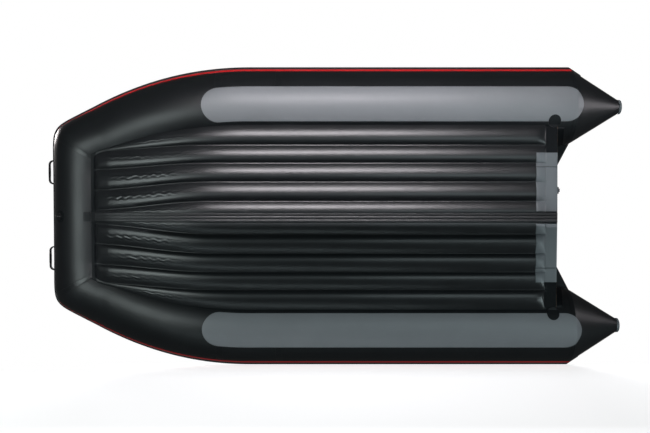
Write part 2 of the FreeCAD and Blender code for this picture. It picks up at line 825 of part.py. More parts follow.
def make_bow_patch():
    """A small patch over the seam of the floor and the bow tube, in front of the keel strip."""
    fore_x = bow_x - bow_patch_lead
    aft_x = bow_x - keel_front_gap + seat_gap
    places = [aft_x, (aft_x + front_x) / 2, front_x]
    places += [front_x + (fore_x - front_x) * i / bow_patch_steps for i in range(1, bow_patch_steps + 1)]
    half = bow_patch_width / 2

    def section(x):
        if x > front_x:
            level = roof_at(x, 0)
        else:
            level = min(under_floor(x, half * i / bow_patch_steps) for i in range(bow_patch_steps + 1))
            level = min(level - seat_gap, roof_at(x, 0))
        corners = [Vector(x, -half, level - bow_patch_thickness), Vector(x, half, level - bow_patch_thickness),
                   Vector(x, half, level), Vector(x, -half, level)]
        return polygon(corners)
    return ruled_solid([section(x) for x in places])


# Bow fittings

def on_bow(shape, y, angle):
    """Moves a shape drawn about the origin, with +Z outward, to the bow tube's skin, angle below level."""
    shape.rotate(Vector(0, 0, 0), Vector(0, 1, 0), 90 + math.degrees(angle))
    outward = Vector(math.cos(angle), 0, -math.sin(angle))
    shape.translate(Vector(bow_x, y, bow_z) + outward * tube_r)
    return shape


def bow_disc(diameter, thickness, y, angle):
    """A round patch that follows the bow tube."""
    shell = straight_bow(tube_r + thickness).cut(straight_bow(tube_r + seat_gap))
    rod = on_bow(Part.makeCylinder(diameter / 2, overrun * 2, Vector(0, 0, -overrun)), y, angle)
    return largest(shell.common(rod))


def make_handle():
    """A strap that stands out from the bow tube as a low loop."""
    level = handle_height
    skin_x = bow_x + math.sqrt(tube_r ** 2 - level ** 2)
    front_x = bow_x + tube_r + handle_reach
    low = bow_z + level - handle_strap / 2

    def outline(shrink):
        half = handle_length / 2 - shrink
        tip = front_x - shrink
        bend = handle_bend - shrink
        diagonal = bend * (1 - math.cos(math.pi / 4))
        return [
            Vector(skin_x - overrun, handle_side - half, low),
            Vector(tip - bend, handle_side - half, low),
            Vector(tip - diagonal, handle_side - half + diagonal, low),
            Vector(tip, handle_side - half + bend, low),
            Vector(tip, handle_side + half - bend, low),
            Vector(tip - diagonal, handle_side + half - diagonal, low),
            Vector(tip - bend, handle_side + half, low),
            Vector(skin_x - overrun, handle_side + half, low),
        ]

    def filled(points):
        return Part.Face(Part.Wire([
            Part.makeLine(points[0], points[1]),
            arc_through(points[1], points[2], points[3]),
            Part.makeLine(points[3], points[4]),
            arc_through(points[4], points[5], points[6]),
            Part.makeLine(points[6], points[7]),
            Part.makeLine(points[7], points[0]),
        ])).extrude(up * handle_strap)
    loop = filled(outline(0)).cut(filled(outline(handle_thickness)))
    return largest(loop.cut(straight_bow(tube_r + handle_patch_thickness + seat_gap)))


def handle_discs(side):
    """The two round patches under one handle's feet."""
    angle = -math.asin(handle_height / tube_r)
    foot = handle_length / 2 - handle_thickness / 2
    discs = []
    for end in (-1, 1):
        y = side * (handle_side + end * foot)
        discs.append(bow_disc(handle_patch_diameter, handle_patch_thickness, y, angle))
    return Part.makeCompound(discs)


def make_eye():
    """A moulded tow eye: a round boss with a half ring on it."""
    boss = Part.makeCylinder(eye_boss_diameter / 2, eye_boss_height + overrun, Vector(0, 0, -overrun))
    ring = Part.makeTorus(eye_ring_radius, eye_ring_thickness / 2, Vector(0, 0, eye_boss_height),
                          Vector(0, 1, 0))
    below = Part.makeCylinder(eye_boss_diameter, overrun, Vector(0, 0, eye_boss_height - overrun))
    whole = on_bow(fused([boss, ring.cut(below)]), 0, eye_angle)
    return largest(whole.cut(straight_bow(tube_r + eye_patch_thickness + seat_gap)))


# Seats

def make_seat_track():
    """A glued base on the tube with a flat tongue that points to the middle of the boat."""
    inner = tube_r + seat_gap
    outer = tube_r + track_base_thickness
    low, high = track_angle - track_base_angle, track_angle + track_base_angle
    under, over = tongue_z - tongue_thickness / 2, tongue_z + tongue_thickness / 2

    def spot(radius, angle):
        return Vector(track_x, tube_y - radius * math.cos(angle), tube_z + radius * math.sin(angle))

    def root(level):
        return math.asin((level - tube_z) / outer)
    tip_low, tip_high = Vector(track_x, tongue_tip_y, under), Vector(track_x, tongue_tip_y, over)
    face = Part.Face(Part.Wire([
        arc_through(spot(inner, low), spot(inner, track_angle), spot(inner, high)),
        Part.makeLine(spot(inner, high), spot(outer, high)),
        arc_through(spot(outer, high), spot(outer, (high + root(over)) / 2), spot(outer, root(over))),
        Part.makeLine(spot(outer, root(over)), tip_high),
        Part.makeLine(tip_high, tip_low),
        Part.makeLine(tip_low, spot(outer, root(under))),
        arc_through(spot(outer, root(under)), spot(outer, (low + root(under)) / 2), spot(outer, low)),
        Part.makeLine(spot(outer, low), spot(inner, low)),
    ]))
    return face.extrude(Vector(track_length, 0, 0))


def make_seat_slides(x):
    """Channels under a seat's ends, open towards the tubes, that run on the tongues."""
    top = tongue_z + tongue_thickness / 2 + slide_fit
    cavity = tongue_thickness + slide_fit + slide_play
    length = seat_width - slide_inset * 2
    outside = Part.makeBox(length, slide_flange + slide_wall, cavity + slide_wall * 2,
                           Vector(x - length / 2, slide_web_y - slide_wall, top - cavity - slide_wall))
    inside = Part.makeBox(length + overrun, slide_flange + overrun, cavity,
                          Vector(x - length / 2 - overrun / 2, slide_web_y, top - cavity))
    slide = outside.cut(inside)
    return Part.makeCompound([slide, mirrored(slide)])


def make_seat(x):
    board = rounded_plate(seat_width, seat_length, seat_thickness, seat_corner)
    rims = [e for e in board.Edges if e.BoundBox.ZLength < seat_edge / 2]
    board = board.makeFillet(seat_edge, rims)
    board.translate(Vector(x, 0, tongue_z + tongue_thickness / 2 + slide_fit + slide_wall))
    return board


# Rowlocks

def make_rowlock_base():
    """A pad moulded to the top of the tube with a raised socket for the pin."""
    column = rounded_plate(rowlock_pad_length, rowlock_pad_width, tube_r + overrun, rowlock_pad_round)
    column.translate(Vector(rowlock_place, tube_y, tube_z))
    top = tube_z + tube_r + rowlock_boss_top
    boss = Part.makeCone(rowlock_boss_diameter / 2 + rowlock_pad_thickness, rowlock_boss_diameter / 2,
                         top - tube_z, Vector(rowlock_place, tube_y, tube_z))
    bore = Part.makeCylinder(pin_diameter / 2 + pin_fit, pin_length + overrun,
                             Vector(rowlock_place, tube_y, top - pin_length + rowlock_lift - pin_fit))
    pad = straight_side(tube_r + rowlock_pad_thickness).common(column)
    base = pad.fuse(boss).cut([straight_side(tube_r + seat_gap), bore])
    return largest(base)


def make_rowlock():
    """A pin with a collar and an open horn, its two arms fore and aft."""
    top = tube_z + tube_r + rowlock_boss_top + rowlock_lift
    rod_r = horn_rod / 2
    curve_r = horn_inside / 2 + rod_r
    pin = Part.makeCylinder(pin_diameter / 2, pin_length - overrun / 2, Vector(0, 0, -pin_length + overrun / 2))
    collar = Part.makeCylinder(collar_diameter / 2, collar_height)
    neck = Part.makeCone(collar_diameter / 2, rod_r * 3 / 2, collar_height * 2, Vector(0, 0, collar_height))
    centre_z = collar_height * 2 + curve_r + rod_r
    ring = Part.makeTorus(curve_r, rod_r, Vector(0, 0, centre_z), Vector(0, 1, 0))
    reach = curve_r * 3
    ring = ring.cut(Part.makeBox(reach, reach, reach, Vector(-reach / 2, -reach / 2, centre_z)))
    solids = [pin, collar, neck, ring]
    for side in (-1, 1):
        foot = Vector(side * curve_r, 0, centre_z)
        solids.append(Part.makeCylinder(rod_r, horn_rise, foot))
        solids.append(Part.makeSphere(horn_ball / 2, foot + up * horn_rise))
    horn = fused(solids)
    horn.translate(Vector(rowlock_place, tube_y, top))
    return largest(horn)


# Valves

def make_valve():
    """A valve about the origin with +Z outward: a flange, and a cap with a notched edge."""
    flange = Part.makeCylinder(valve_diameter / 2, valve_flange + overrun, Vector(0, 0, -overrun))
    cap = Part.makeCylinder(valve_cap_diameter / 2, valve_cap_height, Vector(0, 0, valve_flange))
    notches = []
    for i in range(valve_notches):
        turn = 2 * math.pi * i / valve_notches
        spot = Vector(math.cos(turn), math.sin(turn), 0) * (valve_cap_diameter / 2)
        notches.append(Part.makeCylinder(valve_notch / 2, valve_cap_height, spot + up * valve_flange))
    cap = cap.cut(Part.makeCompound(notches))
    return fused([flange, cap])


def make_tube_valves():
    stern = make_valve()
    stern.rotate(Vector(0, 0, 0), Vector(1, 0, 0), math.degrees(math.pi / 2 - valve_angle))
    inward = Vector(0, -math.cos(valve_angle), math.sin(valve_angle))
    stern.translate(Vector(cone_base_x + valve_stern_gap, tube_y, tube_z) + inward * tube_r)
    stern = largest(stern.cut(straight_side(tube_r + seat_gap)))
    bow = make_valve()
    bow.rotate(Vector(0, 0, 0), Vector(0, 1, 0), math.degrees(valve_angle - math.pi / 2))
    aftward = Vector(-math.cos(valve_angle), 0, math.sin(valve_angle))
    bow.translate(Vector(bow_x, 0, bow_z) + aftward * tube_r)
    bow = largest(bow.cut(straight_bow(tube_r + seat_gap)))
    return Part.makeCompound([stern, mirrored(stern), bow])


def make_floor_valve():
    """A valve on the round top of a starboard chamber."""
    x = floor_end_x + floor_valve_lead
    seams = seam_places(x)
    (y0, z0), (y1, z1) = seams[floor_valve_chamber - 1], seams[floor_valve_chamber]
    swell = swell_at(x, y1 - y0)
    crown = bulged(x, -y0, z0 + floor_depth, -y1, z1 + floor_depth, swell)
    valve = make_valve()
    valve.translate(Vector(x, -(y0 + y1) / 2, (z0 + z1) / 2 + floor_depth + swell))
    axis = crown.Curve.Center - Vector(valve_diameter, 0, 0)
    round_top = Part.makeCylinder(crown.Curve.Radius + seat_gap, valve_diameter * 2, axis, Vector(1, 0, 0))
    return largest(valve.cut(round_top))


# Whole boat, from the hull outward to its fittings

foot_z = seam_places(transom_x)[0][1] + flange_thickness

pieces = {
    "bow_tube": make_bow_tube(),
    "inflatable_floor": make_floor(),
    "keel_strip": make_keel_strip(),
    "bow_rub_rail": make_bow_rail(),
    "bow_centre_patch": make_bow_patch(),
    "stern_patches": make_stern_patches(),
    "corner_patches": make_corner_patches(),
    "transom_board": make_transom_board(),
    "transom_outer_plate": make_transom_plate(outer_plate_width, outer_plate_height, 0),
    "transom_inner_plate": make_transom_plate(inner_plate_width, inner_plate_height,
                                              transom_thickness + plate_thickness),
    "drain_fitting": make_drain_fitting(),
    "drain_plug": make_drain_plug(),
    "tow_eye_patch": bow_disc(eye_patch_diameter, eye_patch_thickness, 0, eye_angle),
    "tow_eye": make_eye(),
    "handle_patches": Part.makeCompound(handle_discs(1).Solids + handle_discs(-1).Solids),
    "tube_valves": make_tube_valves(),
    "floor_valve": make_floor_valve(),
}

for name, shape in [
    ("tube", make_side_tube()),
    ("cone", make_cone()),
    ("cone_cap", make_cone_cap()),
    ("rub_rail", make_side_rail()),
    ("red_stripe", make_stripe()),
    ("wear_pad", make_wear_pad()),
    ("transom_holder", make_transom_holder()),
    ("transom_gusset", make_gusset()),
    ("bow_handle", make_handle()),
    ("seat_track", make_seat_track()),
    ("rowlock_base", make_rowlock_base()),
    ("rowlock", make_rowlock()),
]:
    pieces["port_" + name] = shape
    pieces["starboard_" + name] = mirrored(shape)

aft_seat_x = track_x + track_length * seat_place_share
fore_seat_x = track_x + track_length * (1 - seat_place_share)
for name, x in [("fore", fore_seat_x), ("aft", aft_seat_x)]:
    pieces[name + "_seat"] = make_seat(x)
    pieces[name + "_seat_slides"] = make_seat_slides(x)

os.makedirs("parts", exist_ok=True)
for name, shape in pieces.items():
    shape.exportStep("parts/" + name + ".step")
    if not shape.isValid() or not shape.Solids:
        print("check", name, shape.isValid(), len(shape.Solids))
print(len(pieces), "nodes, seats at", round(fore_seat_x, 1), round(aft_seat_x, 1))
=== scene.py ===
from functools import cache
from math import asin, atan2, ceil, copysign, cos, exp, hypot, inf, log, pi, radians, sin, sqrt

import bpy
from bpy.props import FloatProperty, FloatVectorProperty, PointerProperty
from mathutils import Matrix, Vector, noise


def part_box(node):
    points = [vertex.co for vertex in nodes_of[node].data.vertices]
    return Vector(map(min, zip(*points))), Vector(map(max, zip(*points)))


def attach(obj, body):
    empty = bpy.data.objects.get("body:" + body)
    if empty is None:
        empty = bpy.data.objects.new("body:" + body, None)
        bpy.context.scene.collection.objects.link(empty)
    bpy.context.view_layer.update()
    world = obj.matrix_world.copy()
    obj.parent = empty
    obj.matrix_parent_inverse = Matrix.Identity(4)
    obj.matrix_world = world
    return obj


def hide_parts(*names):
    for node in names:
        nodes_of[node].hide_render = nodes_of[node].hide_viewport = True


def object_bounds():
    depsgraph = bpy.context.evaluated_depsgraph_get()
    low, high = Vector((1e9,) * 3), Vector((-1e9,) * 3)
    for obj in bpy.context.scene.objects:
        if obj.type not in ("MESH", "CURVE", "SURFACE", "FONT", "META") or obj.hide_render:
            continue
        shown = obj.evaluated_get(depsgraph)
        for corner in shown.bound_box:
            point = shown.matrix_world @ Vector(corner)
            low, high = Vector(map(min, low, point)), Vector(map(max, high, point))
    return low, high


bl_info = {
    "name": "Inflatable boat",
    "version": (1, 0, 0),
    "blender": (4, 5, 0),
    "location": "View3D > Sidebar > Boat",
    "description": "Dresses the frame of an inflatable boat with a ribbed air floor, and lights it",
    "category": "Object",
}

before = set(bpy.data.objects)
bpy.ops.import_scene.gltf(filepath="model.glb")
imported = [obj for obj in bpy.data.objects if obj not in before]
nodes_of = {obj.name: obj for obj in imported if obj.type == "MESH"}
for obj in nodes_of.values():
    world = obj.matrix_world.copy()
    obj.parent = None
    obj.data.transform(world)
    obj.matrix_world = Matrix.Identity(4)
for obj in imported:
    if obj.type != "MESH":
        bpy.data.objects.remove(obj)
cad_box = [list(corner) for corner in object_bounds()]
SIDES = ("port", "starboard")
UP = Vector((0, 0, 1))

# Sizes of the solids, in metres
TUBE_R = 0.2125
TUBE_Y = 0.625
TUBE_Z = 0.215
BOW_X = 1.3980
BOW_HALF = 0.371
BOW_RISE = 0.180
RISE_POWER = 2.5
BEND_LENGTH = 0.955
CORNER_GAP = 0.020
CORNER_POWER = 14.0
CONE_BASE_X = -1.3715
CONE_LENGTH = 0.283
CONE_TIP_R = 0.039
SEAT_GAP = 0.0003
PAD_LAP = 0.036
PAD_REACH = 0.252
PAD_HALF = 0.095
PAD_THICK = 0.0025
RAIL_LAP = 0.066
RAIL_THICK = 0.014
RAIL_HALF = 0.027
STRIPE_TOP = radians(9.0)
STRIPE_BOTTOM = radians(25.0)
FLOOR_SEAT = 0.0007
FLOOR_INSET = 0.113
FLOOR_INSET_BOW = 0.042
FLOOR_FRONT_INSET = 0.055
FLOOR_FRONT_HALF = 0.356
FLOOR_VEE = 0.012
FLOOR_VEE_BOW = 0.028
FLOOR_DEPTH = 0.054
FLANGE_THICK = 0.005
SEAM_AFT_SHARES = (0.0, 0.176, 0.385, 0.587, 0.781)
SEAM_BOW_SHARES = (0.0, 0.110, 0.425, 0.750, 1.045)
SEAM_DRIFT_START = 0.200
LEAST_CHAMBER = 0.014
FLOOR_END_GAP = 0.168
FLOOR_NOSE = 0.056
KEEL_WIDTH = 0.055
KEEL_DROP = 0.020
TRANSOM_GAP = 0.105

# Sizes of what the skins show
GORE_SHARE = 0.55
TUBE_SEAMS = (-0.170, 0.151)
AROUND = 144
SWELL, CONE_SWELL = 0.0006, 0.0008
SEAM_PINCH, GORE_PINCH, BEND_PINCH, CONE_PINCH = 0.0007, 0.0026, 0.0016, 0.0012
SEAM_SPAN, GORE_SPAN, CONE_SPAN = 0.03, 0.016, 0.014
PUCKER, PUCKERS = 0.0011, 46
GORE_PUCKER_SPAN, BEND_PUCKER_SPAN = 0.06, 0.05
EDGE_TAPE_TOP, EDGE_TAPE_BOTTOM = radians(-118.0), radians(-125.0)
LAY_GAP = 0.0003
TAPE_GAP = 0.00005
BOW_FLANGE = 0.026
BOW_NOSE = 0.030
BOW_THINNED = 0.150
SWAY = 0.0004
CREASE_RISE, CREASE_FALL = 0.30, 0.12
CREASE_MIDDLE, CREASE_SPAN = 0.42, 0.14
CREASE_LINES, CREASE_WAVE = 4.5, 0.058
STERN_LEAST, BOW_LEAST = 0.02, 0.03
THINNING, CAD_THINNING = 0.62, 0.75
RAIL_GROOVE = 0.0014
STRIPE_THICK, STRIPE_EDGE = 0.0011, 0.0005
PAD_EDGE = 0.0014
PAD_RIDGE, PAD_RIDGE_SPAN = 0.0003, 0.004
PAD_CONE_RIDGE, PAD_CONE_SPAN = 0.0004, 0.003
PATCH_THICK, PATCH_EDGE = 0.0013, 0.0015
PATCH_SPANS = ((0.034, 0.278), (0.281, 0.358))
KEEL_RIDGE, KEEL_TAPER = 0.0022, 0.004
HANDLE_THICK, HANDLE_BEND = 0.0072, 0.030
GRIP_INSET, GRIP_RISE = 0.036, 0.02
GRIP_DEPTH, GRIP_TURN = 0.012, 0.006
PLY_PAIR = 0.0044
LOWER_COUNT, UPPER_COUNT, EDGE_COUNT = 38, 6, 6

# Worked out from the sizes above
CONE_SLOPE = (TUBE_R - CONE_TIP_R) / CONE_LENGTH
BEND_X = BOW_X - BEND_LENGTH
BEND_DROP = TUBE_Y - BOW_HALF
BEND_R = (BEND_LENGTH ** 2 + BEND_DROP ** 2) / (2 * BEND_DROP)
BEND_Y = TUBE_Y - BEND_R
MITRE_ANGLE = (pi / 2 - asin(BEND_LENGTH / BEND_R)) / 2
PIVOT_REACH = (TUBE_R + CORNER_GAP) / cos(MITRE_ANGLE)
PIVOT_X = BOW_X - PIVOT_REACH * cos(MITRE_ANGLE)
PIVOT_Y = BOW_HALF - PIVOT_REACH * sin(MITRE_ANGLE)
FAN_ANGLE = atan2(PIVOT_Y - BEND_Y, PIVOT_X - BEND_X)
SIDE_LENGTH = BEND_R * (pi / 2 - FAN_ANGLE)
SIDE_GAP = BEND_R - hypot(PIVOT_X - BEND_X, PIVOT_Y - BEND_Y) - TUBE_R
BOW_GAP = BOW_X - PIVOT_X - TUBE_R
CORNER_LENGTH = FAN_ANGLE * PIVOT_REACH
RISE_LENGTH = SIDE_LENGTH + CORNER_LENGTH
BOW_MIDDLE = RISE_LENGTH + PIVOT_Y
CONE_S = CONE_BASE_X - BEND_X
TRANSOM_X = CONE_BASE_X + TRANSOM_GAP
FLOOR_END_X = CONE_BASE_X + FLOOR_END_GAP
FRONT_X = BOW_X - FLOOR_FRONT_INSET
GORE_S = SIDE_LENGTH + CORNER_LENGTH * GORE_SHARE
FLANGE_X = FRONT_X - BOW_FLANGE
NOSE_X = FLOOR_END_X + FLOOR_NOSE
CREASE_START = BEND_X + 0.20
CREASE_END = FRONT_X - 0.045
PAD_AFT = CONE_S - PAD_LAP + PAD_HALF
PAD_FORE = PAD_REACH - PAD_HALF


class BoatFinish(bpy.types.PropertyGroup):
    """Colours of the boat's skins and fittings."""
    tube_colour: FloatVectorProperty(
        name="Tubes", description="Colour of the tubes' coated fabric", subtype="COLOR",
        default=(0.006, 0.007, 0.008), min=0, max=1)
    floor_colour: FloatVectorProperty(
        name="Floor", description="Colour of the air floor's coated fabric", subtype="COLOR",
        default=(0.008, 0.009, 0.010), min=0, max=1)
    pad_colour: FloatVectorProperty(
        name="Wear pads", description="Colour of the pads under the side tubes", subtype="COLOR",
        default=(0.185, 0.192, 0.204), min=0, max=1)
    patch_colour: FloatVectorProperty(
        name="Stern patches", description="Colour of the patches over the chambers' ends", subtype="COLOR",
        default=(0.118, 0.130, 0.139), min=0, max=1)
    stripe_colour: FloatVectorProperty(
        name="Stripe", description="Colour of the band below the rub rail", subtype="COLOR",
        default=(0.72, 0.012, 0.016), min=0, max=1)
    gloss: FloatProperty(
        name="Skin roughness", description="Roughness of the coated fabric", default=0.29,
        min=0.1, max=0.9, subtype="FACTOR")


class BoatRelief(bpy.types.PropertyGroup):
    """Depths and widths of what the skins show from near by."""
    bulge: FloatProperty(
        name="Chamber bulge", description="Height of a floor chamber's crown as a share of its width",
        default=0.155, min=0.05, max=0.4, subtype="FACTOR")
    crease_depth: FloatProperty(
        name="Crease depth", description="Depth of the creases in the floor near the bow",
        default=0.0021, unit="LENGTH")
    tape_width: FloatProperty(
        name="Tape width", description="Width of the tapes over the tubes' seams",
        default=0.036, unit="LENGTH")
    tape_thickness: FloatProperty(
        name="Tape thickness", description="Thickness of the seam tapes", default=0.0009, unit="LENGTH")
    weld_half: FloatProperty(
        name="Weld half width", description="Half the width of the flat weld between two chambers",
        default=0.0022, unit="LENGTH")


class StudioSettings(bpy.types.PropertyGroup):
    """Camera distance and light."""
    camera_distance: FloatProperty(
        name="Camera distance", description="From the tubes' axes down to the camera",
        default=5.0, unit="LENGTH")
    camera_side: FloatProperty(
        name="Camera side", description="Camera to port of the centre line", default=0.155, unit="LENGTH")
    focal_length: FloatProperty(
        name="Focal length", description="On a sensor 36 mm wide, in millimetres", default=48.3)
    light_level: FloatProperty(
        name="Light level", description="Factor on the power of all lamps", default=1.0, min=0)


# Shape of the tubes, as the solids have it

def clamp(value, low=0.0, high=1.0):
    return min(max(value, low), high)


def smooth(value):
    value = clamp(value)
    return value * value * (3 - 2 * value)


def bump(distance, width):
    """1 at a distance of zero, falling off smoothly over the width."""
    return exp(-(distance / width) ** 2)


def steepness_at(s):
    t = clamp(s / RISE_LENGTH)
    return BOW_RISE / RISE_LENGTH * RISE_POWER * (RISE_POWER + 1) * t ** (RISE_POWER - 1) * (1 - t)


def tube_at(s):
    """Centre, outward direction, half width and half height of the port tube's section at s."""
    if s <= 0:
        half = TUBE_R - max(CONE_S - s, 0) * CONE_SLOPE
        return Vector((BEND_X + s, TUBE_Y, TUBE_Z)), Vector((0, 1, 0)), half, half
    t = clamp(s / RISE_LENGTH)
    z = TUBE_Z + BOW_RISE * t ** RISE_POWER * (RISE_POWER + 1 - RISE_POWER * t)
    high = TUBE_R * hypot(1, steepness_at(s))
    if s <= SIDE_LENGTH:
        turn = s / BEND_R
        out = Vector((sin(turn), cos(turn), 0))
        return Vector((BEND_X, BEND_Y, z)) + out * BEND_R, out, TUBE_R, high
    if s >= RISE_LENGTH:
        return Vector((BOW_X, PIVOT_Y - (s - RISE_LENGTH), z)), Vector((1, 0, 0)), TUBE_R, high
    share = (s - SIDE_LENGTH) / CORNER_LENGTH
    angle = FAN_ANGLE * (1 - share)
    out = Vector((cos(angle), sin(angle), 0))
    near = SIDE_GAP + (BOW_GAP - SIDE_GAP) * share
    side_far = (SIDE_GAP + 2 * TUBE_R) / cos(FAN_ANGLE - angle)
    bow_far = (BOW_GAP + 2 * TUBE_R) / cos(angle)
    far = (side_far ** -CORNER_POWER + bow_far ** -CORNER_POWER) ** (-1 / CORNER_POWER)
    centre = Vector((PIVOT_X, PIVOT_Y, z)) + out * ((far + near) / 2)
    return centre, out, (far - near) / 2, high


def tube_level(x, y, side):
    """Height of the tubes' lower (side -1) or upper (side 1) face over a place, None beside them."""
    y = abs(y)
    if x <= BEND_X:
        s, offset = x - BEND_X, y - TUBE_Y
    else:
        s = atan2(x - BEND_X, y - BEND_Y) * BEND_R
        offset = hypot(x - BEND_X, y - BEND_Y) - BEND_R
    if s > SIDE_LENGTH and y <= PIVOT_Y:
        s, offset = RISE_LENGTH, x - BOW_X
    elif s > SIDE_LENGTH:
        angle = atan2(y - PIVOT_Y, x - PIVOT_X)
        s = SIDE_LENGTH + CORNER_LENGTH * (1 - angle / FAN_ANGLE)
        centre = tube_at(s)[0]
        offset = hypot(x - PIVOT_X, y - PIVOT_Y) - hypot(centre.x - PIVOT_X, centre.y - PIVOT_Y)
    centre, _, wide, high = tube_at(s)
    if abs(offset) >= wide:
        return None
    return centre.z + side * high * sqrt(1 - (offset / wide) ** 2)


def on_tube(s, angle, lift):
    """A point over the port tube's skin: angle above the outward direction, lift off the skin."""
    centre, out, wide, high = tube_at(s)
    share = 1 + lift / TUBE_R
    return centre + out * (wide * share * cos(angle)) + UP * (high * share * sin(angle))


# Meshes

def spread(low, high, step):
    """Places from low to high, about step apart, both ends included."""
    count = max(1, ceil((high - low) / step))
    return [low + (high - low) * i / count for i in range(count + 1)]


def grid(rows, closed=False, capped=False):
    """A mesh through rows of points, with each row closed to a ring and the ends capped if asked."""
    width = len(rows[0])
    points = [point for row in rows for point in row]
    faces = []
    for i in range(len(rows) - 1):
        for j in range(width if closed else width - 1):
            k = (j + 1) % width
            faces.append((i * width + j, i * width + k, (i + 1) * width + k, (i + 1) * width + j))
    if capped:
        faces.append(tuple(range(width))[::-1])
        faces.append(tuple((len(rows) - 1) * width + j for j in range(width)))
    return points, faces


def flipped(point):
    return Vector((point[0], -point[1], point[2]))


def mirrored(shape):
    points, faces = shape
    return [flipped(p) for p in points], [tuple(reversed(face)) for face in faces]


def joined(shapes):
    points, faces = [], []
    for more_points, more_faces in shapes:
        start = len(points)
        points += more_points
        faces += [tuple(start + i for i in face) for face in more_faces]
    return points, faces


def new_object(name, data):
    obj = bpy.data.objects.new(name, data)
    bpy.context.scene.collection.objects.link(obj)
    return obj


def new_piece(name, shape, finish_name, replaced=(), slot=None, body="hull", sharp=radians(38)):
    """A mesh object of the boat with its finish, riding on a body in place of its solids."""
    points, faces = shape
    mesh = bpy.data.meshes.new(name)
    mesh.from_pydata([tuple(p) for p in points], [], faces)
    mesh.validate()
    mesh.shade_smooth()
    if sharp:
        mesh.set_sharp_from_angle(angle=sharp)
    mesh.materials.append(finish(finish_name))
    piece = new_object(name, mesh)
    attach(piece, body)
    if replaced:
        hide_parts(*replaced)


def new_pair(name, shape, finish_name, node=None, **settings):
    """A piece of the port side, and its mirror image to starboard."""
    for side, made in zip(SIDES, (shape, mirrored(shape))):
        new_piece(f"{side}_{name}", made, finish_name, [f"{side}_{node}"] if node else (), **settings)


def solid(rows):
    return grid(rows, closed=True, capped=True)


def strip_rows(places, outline):
    """Rows of a strip along the port tube. outline(s) gives its section as pairs of angle and lift."""
    return [[on_tube(s, angle, lift) for angle, lift in outline(s)] for s in places]


def round_bow(rows):
    """Rows that end at the bow's middle, carried on to the starboard side."""
    return rows + [[flipped(p) for p in row] for row in reversed(rows[:-1])]


def flat_outline(low, high, base, top, edge, count):
    """Section of a thin strip from angle low to high, its upper corners rounded over the length edge."""
    turn = edge / TUBE_R
    outline = [(low, base), (low, top - edge * 0.6), (low + turn * 0.35, top - edge * 0.15)]
    outline += [(low + turn + (high - low - 2 * turn) * i / count, top) for i in range(count + 1)]
    outline += [(high - turn * 0.35, top - edge * 0.15), (high, top - edge * 0.6), (high, base)]
    outline += [(high - (high - low) * i / count, base) for i in range(1, count)]
    return outline


# Materials

def feed(tree, socket, value):
    """Gives an input a value, or links it to the output that feeds it."""
    if isinstance(value, bpy.types.NodeSocket):
        tree.links.new(value, socket)
    else:
        socket.default_value = value


def add_node(tree, kind, inputs=None, **settings):
    """A shader node with its settings, and values or outputs for its inputs. They stand in rows of six."""
    row, column = divmod(len(tree.nodes), 6)
    node = tree.nodes.new(kind)
    node.location = (220 * column - 1500, -300 * row)
    for key, value in settings.items():
        setattr(node, key, value)
    for key, value in (inputs or {}).items():
        feed(tree, node.inputs[key], value)
    return node


def compute(tree, operation, first, second=0.0):
    return add_node(tree, "ShaderNodeMath", {0: first, 1: second}, operation=operation).outputs[0]


def dot(tree, first, second):
    node = add_node(tree, "ShaderNodeVectorMath", {0: first, 1: second}, operation="DOT_PRODUCT")
    return node.outputs["Value"]


def ranged(tree, value, *ends):
    """A value held between its ends and mapped to a range: from least, from most, to least, to most."""
    inputs = dict(zip(("From Min", "From Max", "To Min", "To Max"), ends), Value=value)
    return add_node(tree, "ShaderNodeMapRange", inputs).outputs["Result"]


def around(tree, value, middle, below, above):
    """A value from 0 to 1 mapped to a span round a middle value."""
    return ranged(tree, value, 0.0, 1.0, middle - below, middle + above)


def noise_at(tree, place, scale, detail, **more):
    inputs = {"Vector": place, "Scale": scale, "Detail": detail, **more}
    return add_node(tree, "ShaderNodeTexNoise", inputs).outputs["Fac"]


def stretched(tree, place, scale):
    return add_node(tree, "ShaderNodeMapping", {"Vector": place, "Scale": scale}).outputs["Vector"]


def mixed(tree, share, first, second):
    return add_node(tree, "ShaderNodeMix", {0: share, 6: first, 7: second}, data_type="RGBA").outputs[2]


def bumped(tree, height, distance, **more):
    inputs = {"Height": height, "Distance": distance, **more}
    return add_node(tree, "ShaderNodeBump", inputs).outputs["Normal"]


def rgba(colour, factor=1.0, lift=0.0):
    return (*[min(c * factor + lift, 1) for c in colour], 1)


def new_group(name, outputs, **inputs):
    """An empty shader node group: its tree, what it takes and what it gives."""
    tree = bpy.data.node_groups.new(name, "ShaderNodeTree")
    tree.interface.new_socket("Vector", in_out="INPUT", socket_type="NodeSocketVector")
    for label, default in inputs.items():
        socket = tree.interface.new_socket(label, in_out="INPUT", socket_type="NodeSocketFloat")
        socket.default_value = default
    for label in outputs:
        tree.interface.new_socket(label, in_out="OUTPUT", socket_type="NodeSocketFloat")
    entry, leave = add_node(tree, "NodeGroupInput"), add_node(tree, "NodeGroupOutput")
    leave.location = (0, 0)
    return tree, entry.outputs, leave.inputs


@cache
def grain_group():
    """Fine pebbled grain of a coated fabric or moulded rubber, over a slower unevenness."""
    tree, given, result = new_group("Grain", ("Height", "Mottle"), Scale=900.0, Unevenness=0.5)
    place, scale = given["Vector"], given["Scale"]
    fine = noise_at(tree, place, scale, 2.0, Roughness=0.6)
    cells = add_node(tree, "ShaderNodeTexVoronoi", {"Vector": place, "Scale": scale}, feature="SMOOTH_F1")
    slow = noise_at(tree, place, 7.0, 4.0)
    pebbles = compute(tree, "ADD", fine, cells.outputs["Distance"])
    sway = compute(tree, "MULTIPLY", slow, given["Unevenness"])
    feed(tree, result["Height"], compute(tree, "ADD", pebbles, sway))
    feed(tree, result["Mottle"], slow)
    return tree


